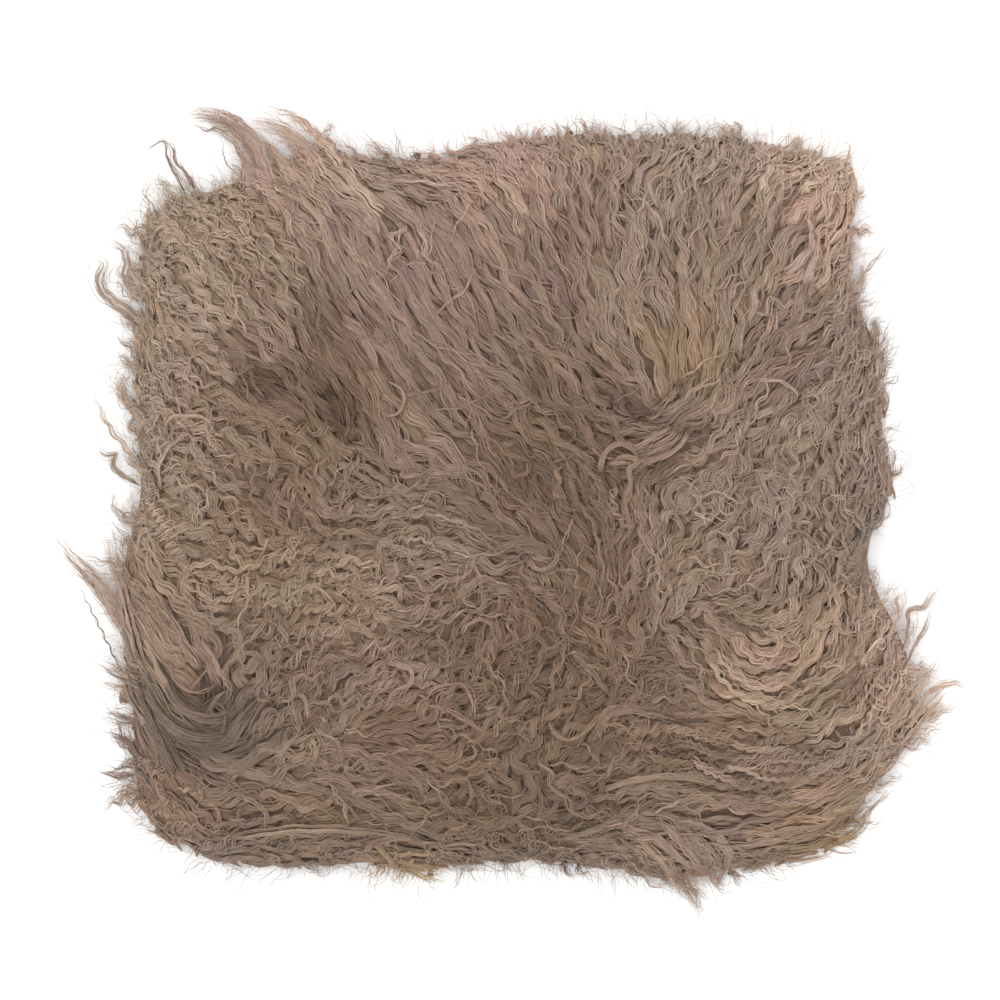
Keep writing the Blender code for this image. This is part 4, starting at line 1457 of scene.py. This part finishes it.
def edge_map(left, right, along):
    """Coordinates of a map for the two edges of each ribbon."""
    left = np.broadcast_to(left, along.shape)
    right = np.broadcast_to(right, along.shape)
    return np.stack([np.stack([left, along], 2), np.stack([right, along], 2)], 2).reshape(-1, 2)


def cell_map(number, per_row, share):
    """A map with a cell of its own for each ribbon."""
    column = number % per_row
    row = number // per_row
    low, high = CELL_ENDS
    left, right = CELL_EDGES
    along = (row + low + (high - low) * share) / CELL_ROWS
    return edge_map((column + left) / per_row, (column + right) / per_row, along)


def length_map(number, strands, share):
    """A map in millimetres along and across each ribbon, apart from its neighbours."""
    length = np.linalg.norm(np.diff(strands["path"], axis=1), axis=2).sum(1)
    near = STRAND_STEP * number
    return edge_map(near, near + strands["width"].max(1)[:, None], share * length[:, None])


def wool_piece(name, sets, material):
    """Joins ribbons into one mesh with its cells, its strand coordinates and its colours."""
    points = []
    faces = []
    cells = []
    lengths = []
    colours = []
    total = sum(len(strands["path"]) for strands in sets)
    per_row = int(math.ceil(total / CELL_ROWS))
    first_vert = 0
    first_strand = 0
    for strands in sets:
        count, samples = strands["path"].shape[:2]
        number = first_strand + np.arange(count)[:, None]
        share = np.linspace(0.0, 1.0, samples)[None, :]
        points.append(ribbon_points(strands).reshape(-1, 3))
        faces.append(ribbon_faces(first_vert, count, samples))
        cells.append(cell_map(number, per_row, share))
        lengths.append(length_map(number, strands, share))
        colours.append(np.repeat(strand_colours(strands).reshape(-1, 3), 2, axis=0))
        first_vert += count * samples * 2
        first_strand += count
    faces = np.vstack(faces)
    corners = faces.ravel()
    mesh = build_mesh(name, np.vstack(points) * MM, faces)
    add_uv(mesh, "OFBake", np.vstack(cells)[corners])
    add_uv(mesh, "Strand", np.vstack(lengths)[corners])
    colours = np.vstack(colours)
    colours = np.column_stack([colours, np.ones(len(colours))])
    layer = mesh.attributes.new("tint", "FLOAT_COLOR", "POINT")
    layer.data.foreach_set("color", colours.astype(np.float32).ravel())
    return smooth_piece(mesh, material)


def build_mesh(name, points, faces):
    """A mesh from arrays of points and of the corners of faces."""
    mesh = bpy.data.meshes.new(name)
    mesh.vertices.add(len(points))
    mesh.vertices.foreach_set("co", points.astype(np.float32).ravel())
    sides = faces.shape[1]
    mesh.loops.add(faces.size)
    mesh.loops.foreach_set("vertex_index", faces.astype(np.int32).ravel())
    mesh.polygons.add(len(faces))
    mesh.polygons.foreach_set("loop_start", np.arange(0, faces.size, sides, dtype=np.int32))
    mesh.update(calc_edges=True)
    mesh.validate()
    return mesh


def add_uv(mesh, name, coordinates):
    """Adds a map with coordinates for each corner of the faces."""
    layer = mesh.uv_layers.new(name=name)
    layer.data.foreach_set("uv", coordinates.astype(np.float32).ravel())


def link(obj):
    """Puts an object into the scene."""
    bpy.context.scene.collection.objects.link(obj)
    return obj


def smooth_piece(mesh, material):
    """A smooth piece with the mesh's own name."""
    mesh.shade_smooth()
    mesh.materials.append(material)
    return link(bpy.data.objects.new(mesh.name, mesh))


def new_material(name, roughness):
    """A material with its nodes, its links and its shader."""
    material = bpy.data.materials.new(name)
    material.use_nodes = True
    nodes = material.node_tree.nodes
    shader = nodes["Principled BSDF"]
    shader.inputs["Roughness"].default_value = roughness
    shader.inputs["Specular IOR Level"].default_value = MIRROR_LEVEL
    return material, nodes, material.node_tree.links, shader


def add_noise(nodes, links, place, **values):
    """Noise at some coordinates, with its values by name."""
    noise = nodes.new("ShaderNodeTexNoise")
    for name, value in values.items():
        noise.inputs[name.capitalize()].default_value = value
    links.new(place, noise.inputs["Vector"])
    return noise


def add_math(nodes, links, operation, *terms):
    """A calculation with numbers and with what other nodes give."""
    node = nodes.new("ShaderNodeMath")
    node.operation = operation
    for socket, term in zip(node.inputs, terms):
        if isinstance(term, float):
            socket.default_value = term
        else:
            links.new(term, socket)
    return node.outputs[0]


def add_ramp(nodes, links, source, low, high):
    """A ramp between two colours, each with its place on the ramp."""
    ramp = nodes.new("ShaderNodeValToRGB")
    for element, (place, colour) in zip(ramp.color_ramp.elements, (low, high)):
        element.position = place
        element.color = (*colour, 1.0)
    links.new(source, ramp.inputs["Fac"])
    return ramp.outputs["Color"]


def add_bump(nodes, links, shader, height, strength, distance):
    """Gives a shader the relief of a height."""
    bump = nodes.new("ShaderNodeBump")
    bump.inputs["Strength"].default_value = strength
    bump.inputs["Distance"].default_value = distance
    links.new(height, bump.inputs["Height"])
    links.new(bump.outputs["Normal"], shader.inputs["Normal"])


def wool_material():
    """Fine crimped fibres along each ribbon, in the strand's own tint."""
    material, nodes, links, shader = new_material("wool_strands", 0.62)
    shader.inputs["Sheen Weight"].default_value = 0.12
    shader.inputs["Sheen Roughness"].default_value = 0.5
    tint = nodes.new("ShaderNodeAttribute")
    tint.attribute_name = "tint"
    place = nodes.new("ShaderNodeUVMap")
    place.uv_map = "Strand"
    split = nodes.new("ShaderNodeSeparateXYZ")
    links.new(place.outputs["UV"], split.inputs["Vector"])
    across = split.outputs["X"]
    along = split.outputs["Y"]
    turns = add_math(nodes, links, "MULTIPLY_ADD", along, 2 * math.pi / CRIMP_WAVE, across)
    swing = add_math(nodes, links, "SINE", turns)
    aside = add_math(nodes, links, "MULTIPLY_ADD", swing, CRIMP_SWING, across)
    crimped = nodes.new("ShaderNodeCombineXYZ")
    links.new(aside, crimped.inputs["X"])
    links.new(along, crimped.inputs["Y"])
    stretch = nodes.new("ShaderNodeMapping")
    stretch.inputs["Scale"].default_value = STREAK_SCALE
    links.new(crimped.outputs["Vector"], stretch.inputs["Vector"])
    fibres = add_noise(
        nodes, links, stretch.outputs["Vector"], scale=1.0, detail=4.0, roughness=0.7
    ).outputs["Fac"]
    shade = add_ramp(nodes, links, fibres, (0.3, DARK_STREAK), (0.7, PALE_STREAK))
    colour = nodes.new("ShaderNodeVectorMath")
    colour.operation = "MULTIPLY"
    links.new(tint.outputs["Color"], colour.inputs[0])
    links.new(shade, colour.inputs[1])
    links.new(colour.outputs["Vector"], shader.inputs["Base Color"])
    add_bump(nodes, links, shader, fibres, 0.3, 0.0004)
    return material


def felt_material():
    """Matted wool between the locks, with short fibres in all directions."""
    material, nodes, links, shader = new_material("matted_wool", 0.95)
    place = nodes.new("ShaderNodeTexCoord").outputs["Object"]
    clumps = add_noise(nodes, links, place, scale=90.0, detail=6.0, distortion=1.6)
    fibres = add_noise(nodes, links, place, scale=600.0, detail=4.0, distortion=3.0)
    both = add_math(nodes, links, "MULTIPLY", clumps.outputs["Fac"], fibres.outputs["Fac"])
    colour = add_ramp(nodes, links, both, (0.12, DARK_FELT), (0.42, PALE_FELT))
    links.new(colour, shader.inputs["Base Color"])
    add_bump(nodes, links, shader, both, 0.8, 0.003)
    return material


def hide_material():
    """Tanned flesh side: pale suede nap with faint stains and pores."""
    material, nodes, links, shader = new_material("tanned_hide", 0.85)
    shader.inputs["Sheen Weight"].default_value = 0.25
    place = nodes.new("ShaderNodeTexCoord").outputs["Object"]
    stains = add_noise(nodes, links, place, scale=14.0, detail=5.0)
    nap = add_noise(nodes, links, place, scale=900.0, detail=4.0)
    stained = add_ramp(nodes, links, stains.outputs["Fac"], (0.3, DARK_HIDE), (0.7, PALE_HIDE))
    rub = nodes.new("ShaderNodeMix")
    rub.data_type = "RGBA"
    rub.blend_type = "OVERLAY"
    rub.inputs["Factor"].default_value = 0.35
    links.new(stained, rub.inputs[6])
    links.new(nap.outputs["Color"], rub.inputs[7])
    links.new(rub.outputs[2], shader.inputs["Base Color"])
    add_bump(nodes, links, shader, nap.outputs["Fac"], 0.4, 0.0008)
    return material


def ring_at(first):
    """The numbers of a ring's points, with the first one again at the end."""
    return [first + turn % TURNS for turn in range(TURNS + 1)]


def fan(centre, ring):
    """Triangles between a point and a ring around it."""
    return [(centre, *pair) for pair in zip(ring[:-1], ring[1:])]


def strip(inner, outer):
    """Triangles between two rings."""
    return [*zip(inner[:-1], outer[:-1], outer[1:]), *zip(inner[:-1], outer[1:], inner[1:])]


def disc(first, rings):
    """Triangles of a disc, from the point in its middle out to its last ring."""
    faces = fan(first, ring_at(first + 1))
    for ring in range(1, rings):
        outer = first + 1 + ring * TURNS
        faces += strip(ring_at(outer - TURNS), ring_at(outer))
    return faces


def flipped(faces):
    """The same triangles, facing the other way."""
    return [face[::-1] for face in faces]


def make_felt(material):
    """The matted body of wool under the locks: lumpy above and flat below."""
    compass = np.arange(TURNS) * 360.0 / TURNS
    across, up = unit(compass)
    edge = around(BODY_EDGE, compass) + FELT_PAST_EDGE
    centre = np.zeros(1)
    points = [(0.0, 0.0, float(look_up(HEIGHTS, centre, centre)[0]) - FELT_DEPTH)]
    for ring in range(1, FELT_RINGS + 1):
        radius = edge * ring / FELT_RINGS
        x, y = radius * across, radius * up
        z = np.maximum(look_up(HEIGHTS, x, y) - FELT_DEPTH, FELT_BOTTOM + FELT_RIM)
        points += list(zip(x, y, z))
    points += list(zip(edge * across, edge * up, np.full(TURNS, FELT_BOTTOM)))
    points.append((0.0, 0.0, FELT_BOTTOM))
    last = len(points) - 1
    lowest_ring = ring_at(last - TURNS)
    faces = disc(0, FELT_RINGS + 1) + flipped(fan(last, lowest_ring))
    return smooth_piece(build_mesh("matted_wool", np.array(points) * MM, np.array(faces)), material)


def make_hide(material):
    """The hide: a square plate with well rounded corners, flat on the surface."""
    across, up = unit(np.arange(TURNS) * 360.0 / TURNS)
    spread = np.abs(across) ** HIDE_SQUARENESS + np.abs(up) ** HIDE_SQUARENESS
    edge = 0.5 * HIDE_SIDE / spread ** (1.0 / HIDE_SQUARENESS)
    points = []
    for height in (0.0, HIDE_THICKNESS):
        points.append((0.0, 0.0, height))
        for ring in range(1, HIDE_RINGS + 1):
            radius = edge * ring / HIDE_RINGS
            points += list(zip(radius * across, radius * up, np.full(TURNS, height)))
    layer = 1 + HIDE_RINGS * TURNS
    side = strip(ring_at(layer - TURNS), ring_at(2 * layer - TURNS))
    faces = flipped(disc(0, HIDE_RINGS)) + disc(layer, HIDE_RINGS) + flipped(side)
    mesh = build_mesh("tanned_hide", np.array(points) * MM, np.array(faces))
    piece = smooth_piece(mesh, material)
    mesh.set_sharp_from_angle(angle=math.radians(40))
    return piece


def make_stage():
    """A plain pale floor, a white room and one soft light from the far left."""
    bpy.ops.mesh.primitive_plane_add(size=FLOOR_SIZE, location=(0.0, 0.0, -FLOOR_DROP))
    floor = bpy.context.object
    floor.name = "floor"
    material, nodes, links, shader = new_material("pale_floor", 0.9)
    shader.inputs["Base Color"].default_value = (FLOOR_SHADE, FLOOR_SHADE, FLOOR_SHADE, 1.0)
    shader.inputs["Specular IOR Level"].default_value = 0.0
    floor.data.materials.append(material)
    world = bpy.data.worlds.new("studio")
    world.use_nodes = True
    background = world.node_tree.nodes["Background"]
    background.inputs["Color"].default_value = (1.0, 1.0, 1.0, 1.0)
    background.inputs["Strength"].default_value = ROOM_STRENGTH
    bpy.context.scene.world = world
    sun = bpy.data.lights.new("soft_light", "SUN")
    sun.energy = LIGHT_STRENGTH
    sun.angle = math.radians(LIGHT_SPREAD)
    light = link(bpy.data.objects.new("soft_light", sun))
    light.rotation_euler = Vector(LIGHT_FROM).to_track_quat("Z", "Y").to_euler()


def make_camera():
    """The camera straight above the pad."""
    camera = bpy.data.cameras.new("camera")
    camera.lens = CAMERA_LENS
    camera.clip_end = CAMERA_RANGE
    obj = link(bpy.data.objects.new("camera", camera))
    obj.location = (CAMERA_X, 0.0, CAMERA_HEIGHT)
    bpy.context.scene.camera = obj
    bpy.context.scene.view_settings.view_transform = "Standard"


def grow_wool(chance):
    """All ribbons and strands, in sets that have the same number of points."""
    locks = covering_locks(chance)
    flat = follow_combing(locks, chance)
    guides = raise_guides(flat, {**locks, "layer": chance.uniform(*UNDER_LAYER, len(flat))})
    sets = grow_strands(guides, locks, chance, under_traits)
    guides = raise_guides(flat, locks)
    sets += keep_topmost(grow_strands(guides, locks, chance, body_traits), BODY_BUDGET)
    sets += keep_topmost(grow_strands(guides, locks, chance, strand_traits), STRAND_BUDGET)
    for make in (rim_locks, halo_hairs, loose_wisps, ringlets, landmark_locks):
        flat, locks = make(chance)
        sets += grow_strands(raise_guides(flat, locks), locks, chance, strand_traits)
    return sets


def main():
    """Builds the camera, the stage, the wool, the matted wool below it and the hide."""
    make_camera()
    make_stage()
    sets = grow_wool(np.random.default_rng(SEED))
    material = wool_material()
    for index, group in enumerate(by_sector(sets)):
        piece = wool_piece(f"wool_{index}", group, material)
        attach(piece, "root")
    felt = make_felt(felt_material())
    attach(felt, "root")
    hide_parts("sheepskin")
    hide = make_hide(hide_material())
    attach(hide, "root")


HEIGHTS = read_heights("sheepskin")
BODY_EDGE = read_outline(HEIGHTS)
OUTLINE = BODY_EDGE + rim_column("margin")
HEIGHTS = blur(HEIGHTS, SMOOTH_PASSES)
RIM_LEAN = rim_column("lean")
RIM_REACH = rim_column("reach")
RIM_BEND = rim_column("bend")
DOUBLED_GRID, SIGNED_GRID = spread_combing()
STYLE_GRIDS, TINT_GRID = spread_styles()
HEIGHTS, TINT_GRID = press_hollows(np.random.default_rng(SEED))
SLOPE_Y, SLOPE_X = np.gradient(HEIGHTS, GRID_PITCH)
WAVE_GRID = spread_waves()
main()
